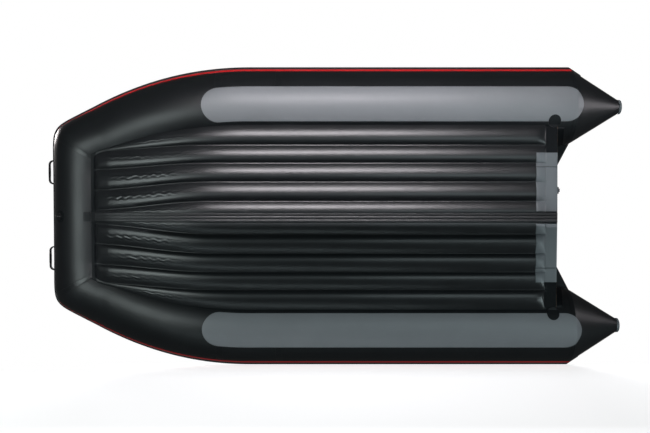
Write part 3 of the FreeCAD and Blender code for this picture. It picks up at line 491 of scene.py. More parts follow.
@cache
def scuff_group():
    """Faint scuffs and dust: short stretched streaks broken up by patches."""
    tree, given, result = new_group("Scuffs", ("Mask",), Amount=0.5)
    place = given["Vector"]
    streaks = noise_at(tree, stretched(tree, place, (6.0, 60.0, 60.0)), 3.0, 5.0)
    patches = noise_at(tree, place, 3.5, 3.0)
    both = compute(tree, "MULTIPLY", ranged(tree, streaks, 0.56, 0.72), ranged(tree, patches, 0.45, 0.65))
    feed(tree, result["Mask"], compute(tree, "MULTIPLY", both, given["Amount"]))
    return tree


@cache
def weave_group():
    """Crossing threads of a webbing: wave patterns along the three axes."""
    tree, given, result = new_group("Weave", ("Height",), Scale=420.0)
    inputs = {"Vector": given["Vector"], "Scale": given["Scale"]}
    waves = [add_node(tree, "ShaderNodeTexWave", inputs, bands_direction=axis).outputs["Fac"]
             for axis in "XYZ"]
    pair = compute(tree, "ADD", waves[0], waves[1])
    feed(tree, result["Height"], compute(tree, "ADD", pair, waves[2]))
    return tree


def use_group(tree, group, **inputs):
    return add_node(tree, "ShaderNodeGroup", inputs, node_tree=group).outputs


def principled(name, **values):
    """A material with its tree and its shader's inputs, these values set."""
    material = bpy.data.materials.new(name)
    material.use_nodes = True
    shader = material.node_tree.nodes["Principled BSDF"].inputs
    for key, value in values.items():
        shader[key.replace("_", " ")].default_value = value
    return material, material.node_tree, shader


def object_place(tree):
    return add_node(tree, "ShaderNodeTexCoord").outputs["Object"]


def skin(name, colour, roughness, lighter=1.5, grain=900.0, depth=0.00006, scuffs=0.12, specular=0.5,
         unevenness=0.5, satin_span=None):
    """Coated fabric or rubber: mottled colour, uneven sheen, fine grain and faint scuffs.

    Where satin_span is given, the skin is matt before and past these two places along the boat.
    """
    material, tree, shader = principled(name, Specular_IOR_Level=specular)
    place = object_place(tree)
    texture = use_group(tree, grain_group(), Vector=place, Scale=grain, Unevenness=unevenness)
    scuffed = use_group(tree, scuff_group(), Vector=place, Amount=scuffs)["Mask"]
    mottled = mixed(tree, texture["Mottle"], rgba(colour), rgba(colour, lighter))
    feed(tree, shader["Base Color"], mixed(tree, scuffed, mottled, rgba(colour, 1.5, 0.008)))
    sheen = around(tree, texture["Mottle"], roughness, 0.03, 0.03)
    feed(tree, shader["Roughness"], compute(tree, "ADD", sheen, scuffed))
    feed(tree, shader["Normal"], bumped(tree, texture["Height"], depth))
    if satin_span:
        along = add_node(tree, "ShaderNodeSeparateXYZ", {0: place}).outputs["X"]
        masks = [ranged(tree, along, end, end + rise, 0.1)
                 for end, rise in zip(satin_span, (0.01, -0.005))]
        both = compute(tree, "MULTIPLY", *masks)
        feed(tree, shader["Specular IOR Level"], compute(tree, "MULTIPLY", both, specular))
    return material


def webbing(name, colour, scale):
    """Woven polyester webbing."""
    material, tree, shader = principled(name, Specular_IOR_Level=0.15, Base_Color=rgba(colour))
    weave = use_group(tree, weave_group(), Vector=object_place(tree), Scale=scale)["Height"]
    feed(tree, shader["Roughness"], ranged(tree, weave, 0.0, 3.0, 0.62, 0.85))
    feed(tree, shader["Normal"], bumped(tree, weave, 0.0006))
    return material


def plywood(name, face, vein, ply_light, ply_dark, roughness, across, along):
    """Plywood: veined or filmed faces, and pale and dark plies where a side shows its edge."""
    material, tree, shader = principled(name, Coat_Weight=0.25, Coat_Roughness=0.2)
    place = object_place(tree)
    rings = noise_at(tree, stretched(tree, place, along), 9.0, 8.0, Roughness=0.62, Distortion=0.6)
    faces = mixed(tree, rings, rgba(vein), rgba(face))
    depth = dot(tree, place, across)
    layers = compute(tree, "MULTIPLY", depth, pi * 2 / PLY_PAIR)
    wave = ranged(tree, compute(tree, "SINE", layers), -0.4, 0.4)
    plies = mixed(tree, wave, rgba(ply_dark), rgba(ply_light))
    normal = add_node(tree, "ShaderNodeNewGeometry").outputs["True Normal"]
    flat = compute(tree, "ABSOLUTE", dot(tree, normal, across))
    whole = mixed(tree, ranged(tree, flat, 0.6, 0.8), plies, faces)
    feed(tree, shader["Base Color"], whole)
    feed(tree, shader["Roughness"], around(tree, rings, roughness, 0.06, 0.08))
    feed(tree, shader["Normal"], bumped(tree, rings, 0.0002, Strength=0.5))
    return material


def metal(name, colour, roughness, direction):
    """Metal with fine lines along a direction."""
    material, tree, shader = principled(name, Metallic=1.0)
    lines = noise_at(tree, stretched(tree, object_place(tree), direction), 30.0, 4.0)
    feed(tree, shader["Base Color"], mixed(tree, lines, rgba(colour, 0.86), rgba(colour)))
    feed(tree, shader["Roughness"], around(tree, lines, roughness, 0.07, 0.07))
    feed(tree, shader["Normal"], bumped(tree, lines, 0.00004))
    return material


TRANSOM_RAKE = radians(12.0)
# What makes each other finish, and its values
OTHER_FINISHES = {
    "handle_webbing": (webbing, (0.008, 0.008, 0.009), 150.0),
    "transom_ply": (plywood, (0.020, 0.021, 0.023), (0.012, 0.012, 0.013), (0.30, 0.20, 0.11),
                    (0.13, 0.075, 0.04), 0.45, (cos(TRANSOM_RAKE), 0, sin(TRANSOM_RAKE)),
                    (20, 3, 20)),
    "seat_ply": (plywood, (0.42, 0.25, 0.115), (0.24, 0.125, 0.05), (0.45, 0.29, 0.15),
                 (0.20, 0.11, 0.05), 0.32, (0, 0, 1), (22, 1.4, 22)),
    "slide_aluminium": (metal, (0.72, 0.73, 0.74), 0.36, (1, 14, 14)),
    "rowlock_steel": (metal, (0.60, 0.60, 0.61), 0.24, (4, 4, 4)),
}


def skin_values():
    """Colour, roughness and what else departs from a plain skin, by finish."""
    user = bpy.context.scene.boat_finish
    satin_span = (FLOOR_END_X, FLANGE_X)
    return {
        "tube_skin": (user.tube_colour, user.gloss + 0.11, {}),
        "floor_skin": (user.floor_colour, user.gloss + 0.01,
                       {"depth": 0.00004, "unevenness": 0.2, "satin_span": satin_span}),
        "tape_skin": (user.tube_colour, user.gloss + 0.04, {"scuffs": 0.1}),
        "keel_rubber": ((0.012, 0.013, 0.014), 0.42, {"grain": 1500.0}),
        "rail_rubber": ((0.008, 0.008, 0.009), 0.5, {"grain": 1300.0, "scuffs": 0.4}),
        "pad_rubber": (user.pad_colour, 0.42,
                       {"lighter": 1.12, "grain": 650.0, "depth": 0.0001, "scuffs": 0.2}),
        "cap_rubber": ((0.12, 0.135, 0.145), 0.42, {"lighter": 1.15, "grain": 1400.0}),
        "red_stripe": (user.stripe_colour, 0.38, {"lighter": 1.1}),
        "grey_patch": (user.patch_colour, 0.42, {"lighter": 1.2, "depth": 0.0001}),
        "black_patch": ((0.006, 0.007, 0.008), 0.45, {"specular": 0.22}),
        "holder_rubber": ((0.006, 0.007, 0.008), 0.45, {"grain": 1200.0, "specular": 0.15}),
        "eye_rubber": ((0.012, 0.012, 0.013), 0.34, {"grain": 1500.0}),
        "track_rubber": ((0.014, 0.014, 0.015), 0.48, {"grain": 1200.0}),
        "socket_rubber": ((0.012, 0.012, 0.013), 0.45, {"grain": 1200.0}),
        "fitting_plastic": ((0.06, 0.064, 0.07), 0.4, {"lighter": 1.2, "grain": 1800.0, "depth": 0.00003}),
        "clamp_plastic": ((0.014, 0.014, 0.016), 0.5, {"grain": 500.0, "depth": 0.0003, "scuffs": 0.4}),
    }


@cache
def finish(name):
    """The material of this name, made when it is first asked for."""
    if name in OTHER_FINISHES:
        make, *values = OTHER_FINISHES[name]
        return make(name, *values)
    colour, roughness, more = skin_values()[name]
    return skin(name, colour, roughness, **more)


def dress(finish_name, *nodes):
    """Gives a finish to solids that keep their own shape."""
    for name in nodes:
        obj = nodes_of[name]
        for index in range(max(1, len(obj.material_slots))):
            if index >= len(obj.material_slots):
                obj.data.materials.append(finish(finish_name))
            obj.material_slots[index].material = finish(finish_name)


# Tubes

def skin_relief(s, angle):
    """How far the tube's skin stands off its plain form: a soft unevenness, and pinches at the seams."""
    lift = SWELL * noise.noise(Vector((s * 3.1, cos(angle) * 1.3, sin(angle) * 1.3)))
    for seam in TUBE_SEAMS:
        lift -= SEAM_PINCH * bump(s - seam, SEAM_SPAN)
    lift -= GORE_PINCH * bump(s - GORE_S, GORE_SPAN) + BEND_PINCH * bump(s - SIDE_LENGTH, SEAM_SPAN)
    inner = smooth((-cos(angle) - 0.2) / 0.6)
    pucker = sin(angle * PUCKERS + 3 * noise.noise(Vector((s * 20, angle * 4, 0.5))))
    near = bump(s - GORE_S, GORE_PUCKER_SPAN) + 0.6 * bump(s - SIDE_LENGTH, BEND_PUCKER_SPAN)
    lift += PUCKER * pucker * inner * near
    if s < CONE_S:
        lift += CONE_SWELL * noise.noise(Vector((s * 9, cos(angle) * 2, sin(angle) * 2)))
    return lift - CONE_PINCH * bump(s - CONE_S, CONE_SPAN)


def ring_angles(count):
    return [2 * pi * i / count for i in range(count)]


def tube_rows(places):
    return [[on_tube(s, a, skin_relief(s, a)) for a in ring_angles(AROUND)] for s in places]


class BOAT_OT_tubes(bpy.types.Operator):
    """Build the inflated side tubes, the bow tube with its mitred corners and the stern cones"""
    bl_idname = "boat.tubes"
    bl_label = "Tubes and cones"

    def execute(self, context):
        side = grid(tube_rows(spread(CONE_S, SIDE_LENGTH, 0.014)), closed=True)
        cone = grid(tube_rows(spread(CONE_S - CONE_LENGTH, CONE_S, 0.008)), closed=True)
        new_pair("tube_skin", side, "tube_skin", "tube", sharp=None)
        new_pair("cone_skin", cone, "tube_skin", "cone", sharp=None)
        places = spread(SIDE_LENGTH, RISE_LENGTH, 0.006) + spread(RISE_LENGTH, BOW_MIDDLE, 0.016)[1:]
        bow = grid(round_bow(tube_rows(places)), closed=True)
        new_piece("bow_tube_skin", bow, "tube_skin", ["bow_tube"], sharp=None)
        return {"FINISHED"}


class BOAT_OT_seam_tapes(bpy.types.Operator):
    """Lay the thin tapes over the tubes' seams and along the edges of the floor"""
    bl_idname = "boat.seam_tapes"
    bl_label = "Seam tapes"

    def execute(self, context):
        settings = context.scene.boat_relief
        half, thick = settings.tape_width / 2, settings.tape_thickness
        across = [(-1, 0.0), (-0.97, 0.8), (-0.85, 1.0), (0, 1.0), (0.85, 1.0), (0.97, 0.8), (1, 0.0)]
        shapes = []
        seams = [(s, half) for s in TUBE_SEAMS] + [(CONE_S + 0.012, half * 0.7), (GORE_S, half * 0.55)]
        for seam, width in seams:
            rows = [[on_tube(seam + width * u, a, skin_relief(seam + width * u, a) + thick * v + TAPE_GAP)
                     for a in ring_angles(AROUND)] for u, v in across]
            shapes.append(grid(rows, closed=True))
        edge = flat_outline(EDGE_TAPE_BOTTOM, EDGE_TAPE_TOP, 2 * TAPE_GAP, thick, 0.0006, 8)
        places = spread(CONE_S + 0.12, SIDE_LENGTH + CORNER_LENGTH * 0.35, 0.02)
        shapes.append(solid(strip_rows(places, lambda s: edge)))
        new_pair("seam_tapes", joined(shapes), "tape_skin", slot="tube_skin")
        return {"FINISHED"}


class BOAT_OT_cone_caps(bpy.types.Operator):
    """Finish the moulded caps on the stern cones"""
    bl_idname = "boat.cone_caps"
    bl_label = "Cone caps"

    def execute(self, context):
        for side in SIDES:
            low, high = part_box(side + "_cone_cap")
            middle, radius, depth = (low + high) / 2, (high.y - low.y) / 2, high.x - low.x
            rim = 0.45 * depth
            groove = radius - 0.0012
            outline = [(0.0, radius * 0.9), (0.0, radius - 0.0015), (0.001, radius), (rim - 0.004, radius),
                       (rim - 0.0025, groove), (rim - 0.001, groove), (rim, radius - 0.0004)]
            for i in range(1, 13):
                turn = pi / 2 * i / 12
                outline.append((rim + (depth - rim) * sin(turn), radius * cos(turn) ** 0.8))
            rows = [[Vector((high.x - x, middle.y + r * cos(a), middle.z + r * sin(a)))
                     for a in ring_angles(64)] for x, r in outline]
            new_piece(side + "_cap", grid(rows, closed=True), "cap_rubber", [side + "_cone_cap"])
        return {"FINISHED"}


# Rail, stripe and pads

def rail_outline(s):
    """Section of the rub rail: a round nose with two shallow grooves, thin lips above and below."""
    half, lip, steps = RAIL_HALF / TUBE_R, RAIL_THICK * 0.36, 22
    outline = [(-half, LAY_GAP), (-half, lip)]
    for u in (-1 + 2 * i / steps for i in range(steps + 1)):
        groove = RAIL_GROOVE * (bump(u - 0.42, 0.1) + bump(u + 0.42, 0.1))
        nose = RAIL_THICK * (0.45 + 0.55 * sqrt(max(1 - u * u, 0)))
        outline.append((half * 0.96 * u, nose - groove))
    return outline + [(half, lip)] + [(half * u, LAY_GAP) for u in (1, 0.5, 0, -0.5)]


class BOAT_OT_rub_rails(bpy.types.Operator):
    """Run the rub rail round the boat"""
    bl_idname = "boat.rub_rails"
    bl_label = "Rub rails"

    def execute(self, context):
        places = spread(CONE_S - RAIL_LAP, CONE_S, 0.008) + spread(CONE_S, SIDE_LENGTH, 0.025)[1:]
        new_pair("rail", solid(strip_rows(places, rail_outline)), "rail_rubber", "rub_rail")
        places = spread(SIDE_LENGTH, RISE_LENGTH, 0.008) + spread(RISE_LENGTH, BOW_MIDDLE, 0.03)[1:]
        bow = solid(round_bow(strip_rows(places, rail_outline)))
        new_piece("bow_rail", bow, "rail_rubber", ["bow_rub_rail"])
        return {"FINISHED"}


def stripe_outline(s):
    """Section of the red band, which narrows round the bow's corner."""
    passed = clamp((s - SIDE_LENGTH) / (CORNER_LENGTH * 0.5))
    bottom = STRIPE_BOTTOM - (STRIPE_BOTTOM - STRIPE_TOP) * passed * 0.88
    return flat_outline(-bottom, -STRIPE_TOP, LAY_GAP, STRIPE_THICK, STRIPE_EDGE, 8)


class BOAT_OT_red_stripes(bpy.types.Operator):
    """Lay the red bands below the rub rail"""
    bl_idname = "boat.red_stripes"
    bl_label = "Red stripes"

    def execute(self, context):
        places = spread(CONE_S, SIDE_LENGTH, 0.02)
        places += spread(SIDE_LENGTH, SIDE_LENGTH + CORNER_LENGTH * 0.5, 0.006)[1:]
        shape = solid(strip_rows(places, stripe_outline))
        new_pair("stripe", shape, "red_stripe", "red_stripe")
        return {"FINISHED"}


def pad_outline(s):
    """Section of a wear pad, which shows the tube's seams faintly."""
    past = max(PAD_AFT - s, s - PAD_FORE, 0)
    half = asin(sqrt(max(PAD_HALF ** 2 - past ** 2, 1e-8)) / TUBE_R)
    ridge = sum(PAD_RIDGE * bump(s - seam, PAD_RIDGE_SPAN) for seam in TUBE_SEAMS)
    top = PAD_THICK - LAY_GAP + (ridge + PAD_CONE_RIDGE * bump(s - CONE_S, PAD_CONE_SPAN))
    edge = min(PAD_EDGE, half * TUBE_R * 0.4)
    return flat_outline(-pi / 2 - half, -pi / 2 + half, LAY_GAP, top, edge, 24)


class BOAT_OT_wear_pads(bpy.types.Operator):
    """Lay the round-ended grey pads under the side tubes"""
    bl_idname = "boat.wear_pads"
    bl_label = "Wear pads"

    def execute(self, context):
        ends = [sin(pi / 2 * i / 18) for i in range(18)] + [0.999]
        places = {PAD_AFT - PAD_HALF * a for a in ends} | {PAD_FORE + PAD_HALF * a for a in ends}
        places |= set(spread(PAD_AFT, PAD_FORE, 0.02))
        shape = solid(strip_rows(sorted(places), pad_outline))
        new_pair("pad", shape, "pad_rubber", "wear_pad")
        return {"FINISHED"}


# Floor, with the seams and levels of the solids

def floor_half_at(x):
    share = max(x - BEND_X, 0) / (FRONT_X - BEND_X)
    inset = FLOOR_INSET + (FLOOR_INSET_BOW - FLOOR_INSET) * share ** 2
    if x <= BEND_X:
        return TUBE_Y - inset
    last_x = BEND_X + (BEND_R - inset) * sin(SIDE_LENGTH / BEND_R)
    turn = asin((min(x, last_x) - BEND_X) / (BEND_R - inset))
    half = BEND_Y + (BEND_R - inset) * cos(turn)
    if x > last_x:
        half += (FLOOR_FRONT_HALF - half) * (x - last_x) / (FRONT_X - last_x)
    return half


def roof_at(x, y):
    level = tube_level(x, y, -1)
    return inf if level is None else level - FLOOR_SEAT


def seam_places(x):
    """Distance from the centre line and height of the lower seams at x."""
    half = floor_half_at(x)
    edge_z = roof_at(x, half)
    share = clamp((x - BEND_X) / (FRONT_X - BEND_X))
    middle_z = edge_z - FLOOR_VEE * (1 - share) - FLOOR_VEE_BOW * 4 * share ** 2 * (1 - share)
    start = BEND_X + SEAM_DRIFT_START
    drift = smooth((x - start) / (FRONT_X - start))
    places = []
    for aft_share, bow_share in zip(SEAM_AFT_SHARES, SEAM_BOW_SHARES):
        y = (TUBE_Y - FLOOR_INSET) * aft_share * (1 - drift) + FLOOR_FRONT_HALF * bow_share * drift
        y = min(y, half - LEAST_CHAMBER)
        z = middle_z + (edge_z - middle_z) * y / half
        places.append((y, min(z, roof_at(x, y) - 0.004)))
    return places + [(half, edge_z)]


def round_end(share):
    """Height of a round end at a share of its length, from its tip."""
    return sqrt(1 - (1 - share) ** 2)


def floor_fullness(x):
    """1 along the floor, falling off in the chambers' round ends at the stern and at the bow."""
    if x <= FLOOR_END_X:
        return STERN_LEAST
    if x < NOSE_X:
        return max(round_end((x - FLOOR_END_X) / FLOOR_NOSE), STERN_LEAST)
    if x >= FLANGE_X:
        return BOW_LEAST
    thinned = clamp((x - (FRONT_X - BOW_THINNED)) / BOW_THINNED)
    return (1 - THINNING * thinned ** 2) * max(round_end(clamp((FLANGE_X - x) / BOW_NOSE)), BOW_LEAST)


def cad_fullness(x):
    """Fullness of the solid floor, which keeps more height under the bow tube than the skin shows."""
    return 1 - CAD_THINNING * (max(x - (FRONT_X - BOW_THINNED), 0) / BOW_THINNED) ** 2


def crease_at(x, across, chamber):
    """Creases of the floor near the bow, strongest near the middle of each chamber."""
    along = smooth((x - CREASE_START) / CREASE_RISE) * smooth((CREASE_END - x) / CREASE_FALL)
    if along <= 0:
        return 0.0
    bend = noise.noise(Vector((x * 9, across * 2.5, chamber * 3.7)))
    wave = 1.5 * sin(2 * pi * x / CREASE_WAVE + 3 * bend + chamber * 1.9)
    ripple = sin(2 * pi * across * CREASE_LINES + 9 * (x - BEND_X) + wave)
    strength = 0.75 + 0.6 * noise.noise(Vector((x * 7, across * 3.0, chamber * 5.1 + 9)))
    return along * bump(across - CREASE_MIDDLE, CREASE_SPAN) * strength * ripple


def floor_sway(x, y):
    """Very slow unevenness of the floor's skin, so that its highlights aren't ruled."""
    return SWAY * noise.noise(Vector((x * 1.6, y * 5.0, 4.0)))


def lean_at(x):
    """Where across a chamber it is lowest: nearer to the middle of the boat, more so at the bow."""
    return 0.40 - 0.03 * smooth((x - (BEND_X + 0.05)) / 0.4)


def chamber_drop(x, share, width, bulge, lean):
    """How far a chamber's skin stands off the line between its seams, at a share of its width."""
    swell = bulge * floor_fullness(x) * width
    radius = (width ** 2 / 4 + swell ** 2) / (2 * swell)
    off = width * (share ** (log(0.5) / log(lean)) - 0.5)
    return sqrt(max(radius ** 2 - off ** 2, 0)) - (radius - swell)


def chamber_row(x, seams, side, weld, bulge, creases, count):
    """Points over the chambers of one side of the floor, from the middle to the edge."""
    lean = lean_at(x) if side < 0 else 0.5
    row = []
    for chamber, ((y0, z0), (y1, z1)) in enumerate(zip(seams, seams[1:])):
        inner, outer = y0 + weld, y1 - (weld if chamber < len(seams) - 2 else 0)
        width = max(outer - inner, 0.002)
        for i in range(count + 1):
            share = (1 - cos(pi * i / count)) / 2 if side < 0 else i / count
            y = inner + width * share
            z = z0 + (z1 - z0) * share
            drop = chamber_drop(x, share, width, bulge, lean)
            fold = creases * crease_at(x, 1 - share if side < 0 else share, chamber) * min(width / 0.09, 1)
            sway = floor_sway(x, y) * min(drop / 0.01, 1)
            row.append((y, z + side * (drop - fold * sin(pi * share) + sway)))
    return row


def shelf_at(x, near, far, level):
    """Where the floor's upper edge meets the tube: between near and far, at a level."""
    if roof_at(x, near) <= level:
        return (near + far) / 2
    for _ in range(24):
        shelf = (near + far) / 2
        near, far = (shelf, far) if roof_at(x, shelf) > level else (near, shelf)
    return shelf


def floor_row(x, settings):
    """Points round the floor's section at x."""
    seams = seam_places(x)
    web = FLANGE_THICK + (FLOOR_DEPTH - FLANGE_THICK) * floor_fullness(x)
    edge_y, edge_z = seams[-1]
    shelf_y = shelf_at(x, seams[-2][0], edge_y, edge_z + web)
    shelf_z = min(edge_z + web, roof_at(x, shelf_y))
    tops = [(y, min(z + web, roof_at(x, y))) for y, z in seams[:-1]] + [(shelf_y, shelf_z)]
    weld, bulge = settings.weld_half, settings.bulge
    half = chamber_row(x, seams, -1, weld, bulge, settings.crease_depth, LOWER_COUNT)
    for share in (i / EDGE_COUNT for i in range(1, EDGE_COUNT)):
        y = edge_y + (shelf_y - edge_y) * share
        half.append((y, min(roof_at(x, y), edge_z + (shelf_z - edge_z) * share + 0.02)))
    upper = chamber_row(x, tops, 1, weld, bulge, 0.0, UPPER_COUNT)
    half += [(y, min(z, roof_at(x, y))) for y, z in reversed(upper)]
    return [Vector((x, y, z)) for y, z in half] + [Vector((x, -y, z)) for y, z in reversed(half)]


def nose_places(tip, length, count):
    """Places along a round end from its tip, closer near the tip."""
    return [tip + length * (1 - cos(pi / 2 * i / count)) for i in range(count + 1)]


class BOAT_OT_floor(bpy.types.Operator):
    """Build the ribbed air floor with its welds, round chamber ends and creases"""
    bl_idname = "boat.floor"
    bl_label = "Air floor"

    def execute(self, context):
        nose = nose_places(FLOOR_END_X, FLOOR_NOSE, 12)
        bow_nose = nose_places(FLANGE_X, -BOW_NOSE, 9)[::-1]
        places = spread(TRANSOM_X, FLOOR_END_X, 0.01)[:-1] + nose + spread(nose[-1], BEND_X, 0.04)[1:]
        places += spread(BEND_X, bow_nose[0], 0.0085)[1:] + bow_nose[1:]
        places += [(FLANGE_X + FRONT_X) / 2, FRONT_X]
        shape = solid([floor_row(x, context.scene.boat_relief) for x in places])
        new_piece("air_floor", shape, "floor_skin", ["inflatable_floor"], sharp=radians(60))
        return {"FINISHED"}


def under_floor(x, y, bulge):
    """Height of the floor's lower skin at a place."""
    seams = seam_places(x)
    for (y0, z0), (y1, z1) in zip(seams, seams[1:]):
        if y <= y1:
            break
    share = clamp((y - y0) / (y1 - y0))
    return z0 + (z1 - z0) * share - chamber_drop(x, share, y1 - y0, bulge, lean_at(x))


class BOAT_OT_keel_strip(bpy.types.Operator):
    """Lay the ridged keel strip on the floor's middle seam"""
    bl_idname = "boat.keel_strip"
    bl_label = "Keel strip"

    def execute(self, context):
        bulge = context.scene.boat_relief.bulge
        low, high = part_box("keel_strip")
        half = KEEL_WIDTH / 2
        rows = []
        for x in spread(low.x + 0.0005, NOSE_X, 0.006) + spread(NOSE_X, high.x - 0.0005, 0.02)[1:]:
            base = seam_places(x)[0][1] - (KEEL_DROP - 0.002) * cad_fullness(x)
            row = []
            for u in (-1 + 2 * i / 40 for i in range(41)):
                ridge = KEEL_RIDGE * abs(sin(pi * 1.5 * (u + 1))) ** 0.6
                taper = KEEL_TAPER * smooth((abs(u) - 0.82) / 0.18)
                row.append(Vector((x, half * u, base - ridge + taper)))
            rows.append(row + [Vector((x, half * u, under_floor(x, half * abs(u), bulge) - SEAT_GAP))
                               for u in (1, 0.5, 0, -0.5, -1)])
        new_piece("keel_band", solid(rows), "keel_rubber", ["keel_strip"])
        return {"FINISHED"}


# Patches

def thinned_edge(distance):
    """Share of a patch's thickness at a distance from its edge."""
    return 0.35 + 0.65 * smooth(distance / PATCH_EDGE)


def patch_on_floor(places, y_from, y_to, bulge):
    """A thin patch that follows the floor's lower skin."""
    rows = []
    for x in places:
        thick = PATCH_THICK * thinned_edge(min(abs(x - places[0]), abs(x - places[-1])))
        inner = [Vector((x, y, under_floor(x, y, bulge) - LAY_GAP)) for y in spread(y_from, y_to, 0.004)]
        outer = [p - UP * thick * thinned_edge(min(p.y - y_from, y_to - p.y)) for p in inner]
        rows.append(outer + inner[::-1])
    return solid(rows)


class BOAT_OT_patches(bpy.types.Operator):
    """Lay the grey stern patches, the round corner patches and the small patch at the bow"""
    bl_idname = "boat.patches"
    bl_label = "Patches"

    def execute(self, context):
        bulge = context.scene.boat_relief.bulge
        low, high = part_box("stern_patches")
        edge = 0.0006
        places = [low.x] + spread(low.x + edge, FLOOR_END_X, 0.008)[:-1]
        places += [x for x in nose_places(FLOOR_END_X, FLOOR_NOSE, 14) if x < high.x - edge]
        places += [high.x - edge, high.x]
        shapes = []
        for inner, outer in PATCH_SPANS:
            shape = patch_on_floor(places, inner, outer, bulge)
            shapes += [shape, mirrored(shape)]
        new_piece("grey_patches", joined(shapes), "grey_patch", ["stern_patches"])
        dress("black_patch", "corner_patches", "bow_centre_patch")
        return {"FINISHED"}


# Bow fittings

class BOAT_OT_bow_handles(bpy.types.Operator):
    """Shape the webbing handles on the bow, with a rolled grip and stitched feet"""
    bl_idname = "boat.bow_handles"
    bl_label = "Bow handles"

    def execute(self, context):
        dress("black_patch", "handle_patches")
        low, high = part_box("port_bow_handle")
        middle, half, width = (low + high) / 2, (high.y - low.y) / 2, (high.z - low.z) / 2
        thick, bend = HANDLE_THICK, HANDLE_BEND
        skin_x = BOW_X + sqrt(TUBE_R ** 2 - (middle.z - tube_at(BOW_MIDDLE)[0].z) ** 2)
        path = [(skin_x, -half + thick), (high.x - bend, -half + thick)]
        for turn in (pi / 2 * i / 9 for i in range(1, 9)):
            path.append((high.x - bend + (bend - thick) * sin(turn),
                         -half + bend - (bend - thick) * cos(turn)))
        path += [(high.x - thick, y) for y in spread(-half + bend, 0, 0.006)]
        path += [(x, -y) for x, y in reversed(path[:-1])]
        rows = []
        for index, (x, y) in enumerate(path):
            before, after = path[max(index - 1, 0)], path[min(index + 1, len(path) - 1)]
            along = Vector((after[0] - before[0], after[1] - before[1], 0)).normalized()
            side = Vector((along.y, -along.x, 0))
            grip = smooth((half - GRIP_INSET - abs(y)) / GRIP_RISE)
            grip *= smooth((x - (high.x - GRIP_DEPTH)) / GRIP_TURN)
            wide, deep = width * (1 - 0.34 * grip), thick * (0.55 + 0.45 * grip)
            power = 0.35 + 0.45 * grip
            row = []
            for a in ring_angles(28):
                c, s = [copysign(abs(v) ** power, v) for v in (cos(a), sin(a))]
                row.append(Vector((x, middle.y + y, middle.z)) + UP * (wide * c) + side * (deep * s))
            rows.append(row)
        new_pair("handle", solid(rows), "handle_webbing", "bow_handle", sharp=radians(70))
        return {"FINISHED"}


class BOAT_OT_tow_eye(bpy.types.Operator):
    """Finish the tow eye and its round patch"""
    bl_idname = "boat.tow_eye"
    bl_label = "Tow eye"

    def execute(self, context):
        dress("black_patch", "tow_eye_patch")
        dress("eye_rubber", "tow_eye")
        return {"FINISHED"}


# Stern and cockpit

class BOAT_OT_transom(bpy.types.Operator):
    """Finish the transom board, its plates, the holders and knees, and the drain"""
    bl_idname = "boat.transom"
    bl_label = "Transom"

    def execute(self, context):
        dress("transom_ply", "transom_board")
        dress("clamp_plastic", "transom_outer_plate", "transom_inner_plate")
        for side in SIDES:
            dress("holder_rubber", side + "_transom_holder", side + "_transom_gusset")
        dress("fitting_plastic", "drain_fitting", "drain_plug")
        return {"FINISHED"}


class BOAT_OT_cockpit(bpy.types.Operator):
    """Finish the seats and their tracks, the rowlocks and the valves"""
    bl_idname = "boat.cockpit"
    bl_label = "Cockpit fittings"

    def execute(self, context):
        dress("seat_ply", "fore_seat", "aft_seat")
        dress("slide_aluminium", "fore_seat_slides", "aft_seat_slides")
        for side in SIDES:
            dress("track_rubber", side + "_seat_track")
            dress("socket_rubber", side + "_rowlock_base")
            dress("rowlock_steel", side + "_rowlock")
        dress("fitting_plastic", "tube_valves", "floor_valve")
        return {"FINISHED"}


# Studio

WHITE = (1, 1, 1, 1)
LILAC = (1.0, 0.955, 1.0)
TEAL = (0.80, 0.97, 1.0)
PALE_TEAL = (0.88, 1.0, 0.99)
ROSE = (1.0, 0.93, 0.92)
PLAIN = (1.0, 1.0, 1.0)
WORLD_FILL = 0.05
GROUND_HALF = 90


def softbox(name, location, target, size, power, colour, grid_angle=180.0):
    """A rectangular lamp that faces a point. Its grid narrows the light to an angle in degrees."""
    lamp = bpy.data.lights.new(name, "AREA")
    lamp.shape = "RECTANGLE"
    lamp.size, lamp.size_y = size
    lamp.energy = power * bpy.context.scene.studio.light_level
    lamp.color = colour
    lamp.spread = radians(grid_angle)
    obj = new_object(name, lamp)
    obj.location = location
    obj.rotation_euler = (Vector(target) - Vector(location)).to_track_quat("-Z", "Y").to_euler()
    return obj


def plane(name, corners, material):
    """A flat stage piece with its corners in turn."""
    mesh = bpy.data.meshes.new(name)
    mesh.from_pydata([tuple(c) for c in corners], [], [tuple(range(len(corners)))])
    mesh.materials.append(material)
    obj = new_object(name, mesh)
    return obj


def upright(x_from, x_to, y, z_from, z_to):
    """Corners of an upright rectangle along the boat."""
    return [(x_from, y, z_from), (x_from, y, z_to), (x_to, y, z_to), (x_to, y, z_from)]


def one_sided(name, colour, glow):
    """A pale surface that the camera sees from its front only, and that lets all other light pass."""
    material = bpy.data.materials.new(name)
    material.use_nodes = True
    tree = material.node_tree
    tree.nodes.remove(tree.nodes["Principled BSDF"])
    back = add_node(tree, "ShaderNodeNewGeometry").outputs["Backfacing"]
    front = compute(tree, "SUBTRACT", 1.0, back)
    camera_ray = add_node(tree, "ShaderNodeLightPath").outputs["Is Camera Ray"]
    seen = compute(tree, "MULTIPLY", camera_ray, front)
    clear = add_node(tree, "ShaderNodeBsdfTransparent").outputs[0]
    matt = add_node(tree, "ShaderNodeBsdfDiffuse", {"Color": rgba(colour)}).outputs[0]
    light = add_node(tree, "ShaderNodeEmission", {"Color": WHITE, "Strength": glow}).outputs[0]
    pale = add_node(tree, "ShaderNodeAddShader", {0: matt, 1: light}).outputs[0]
    mix = add_node(tree, "ShaderNodeMixShader", {0: seen, 1: clear, 2: pale}).outputs[0]
    feed(tree, tree.nodes["Material Output"].inputs["Surface"], mix)
    return material


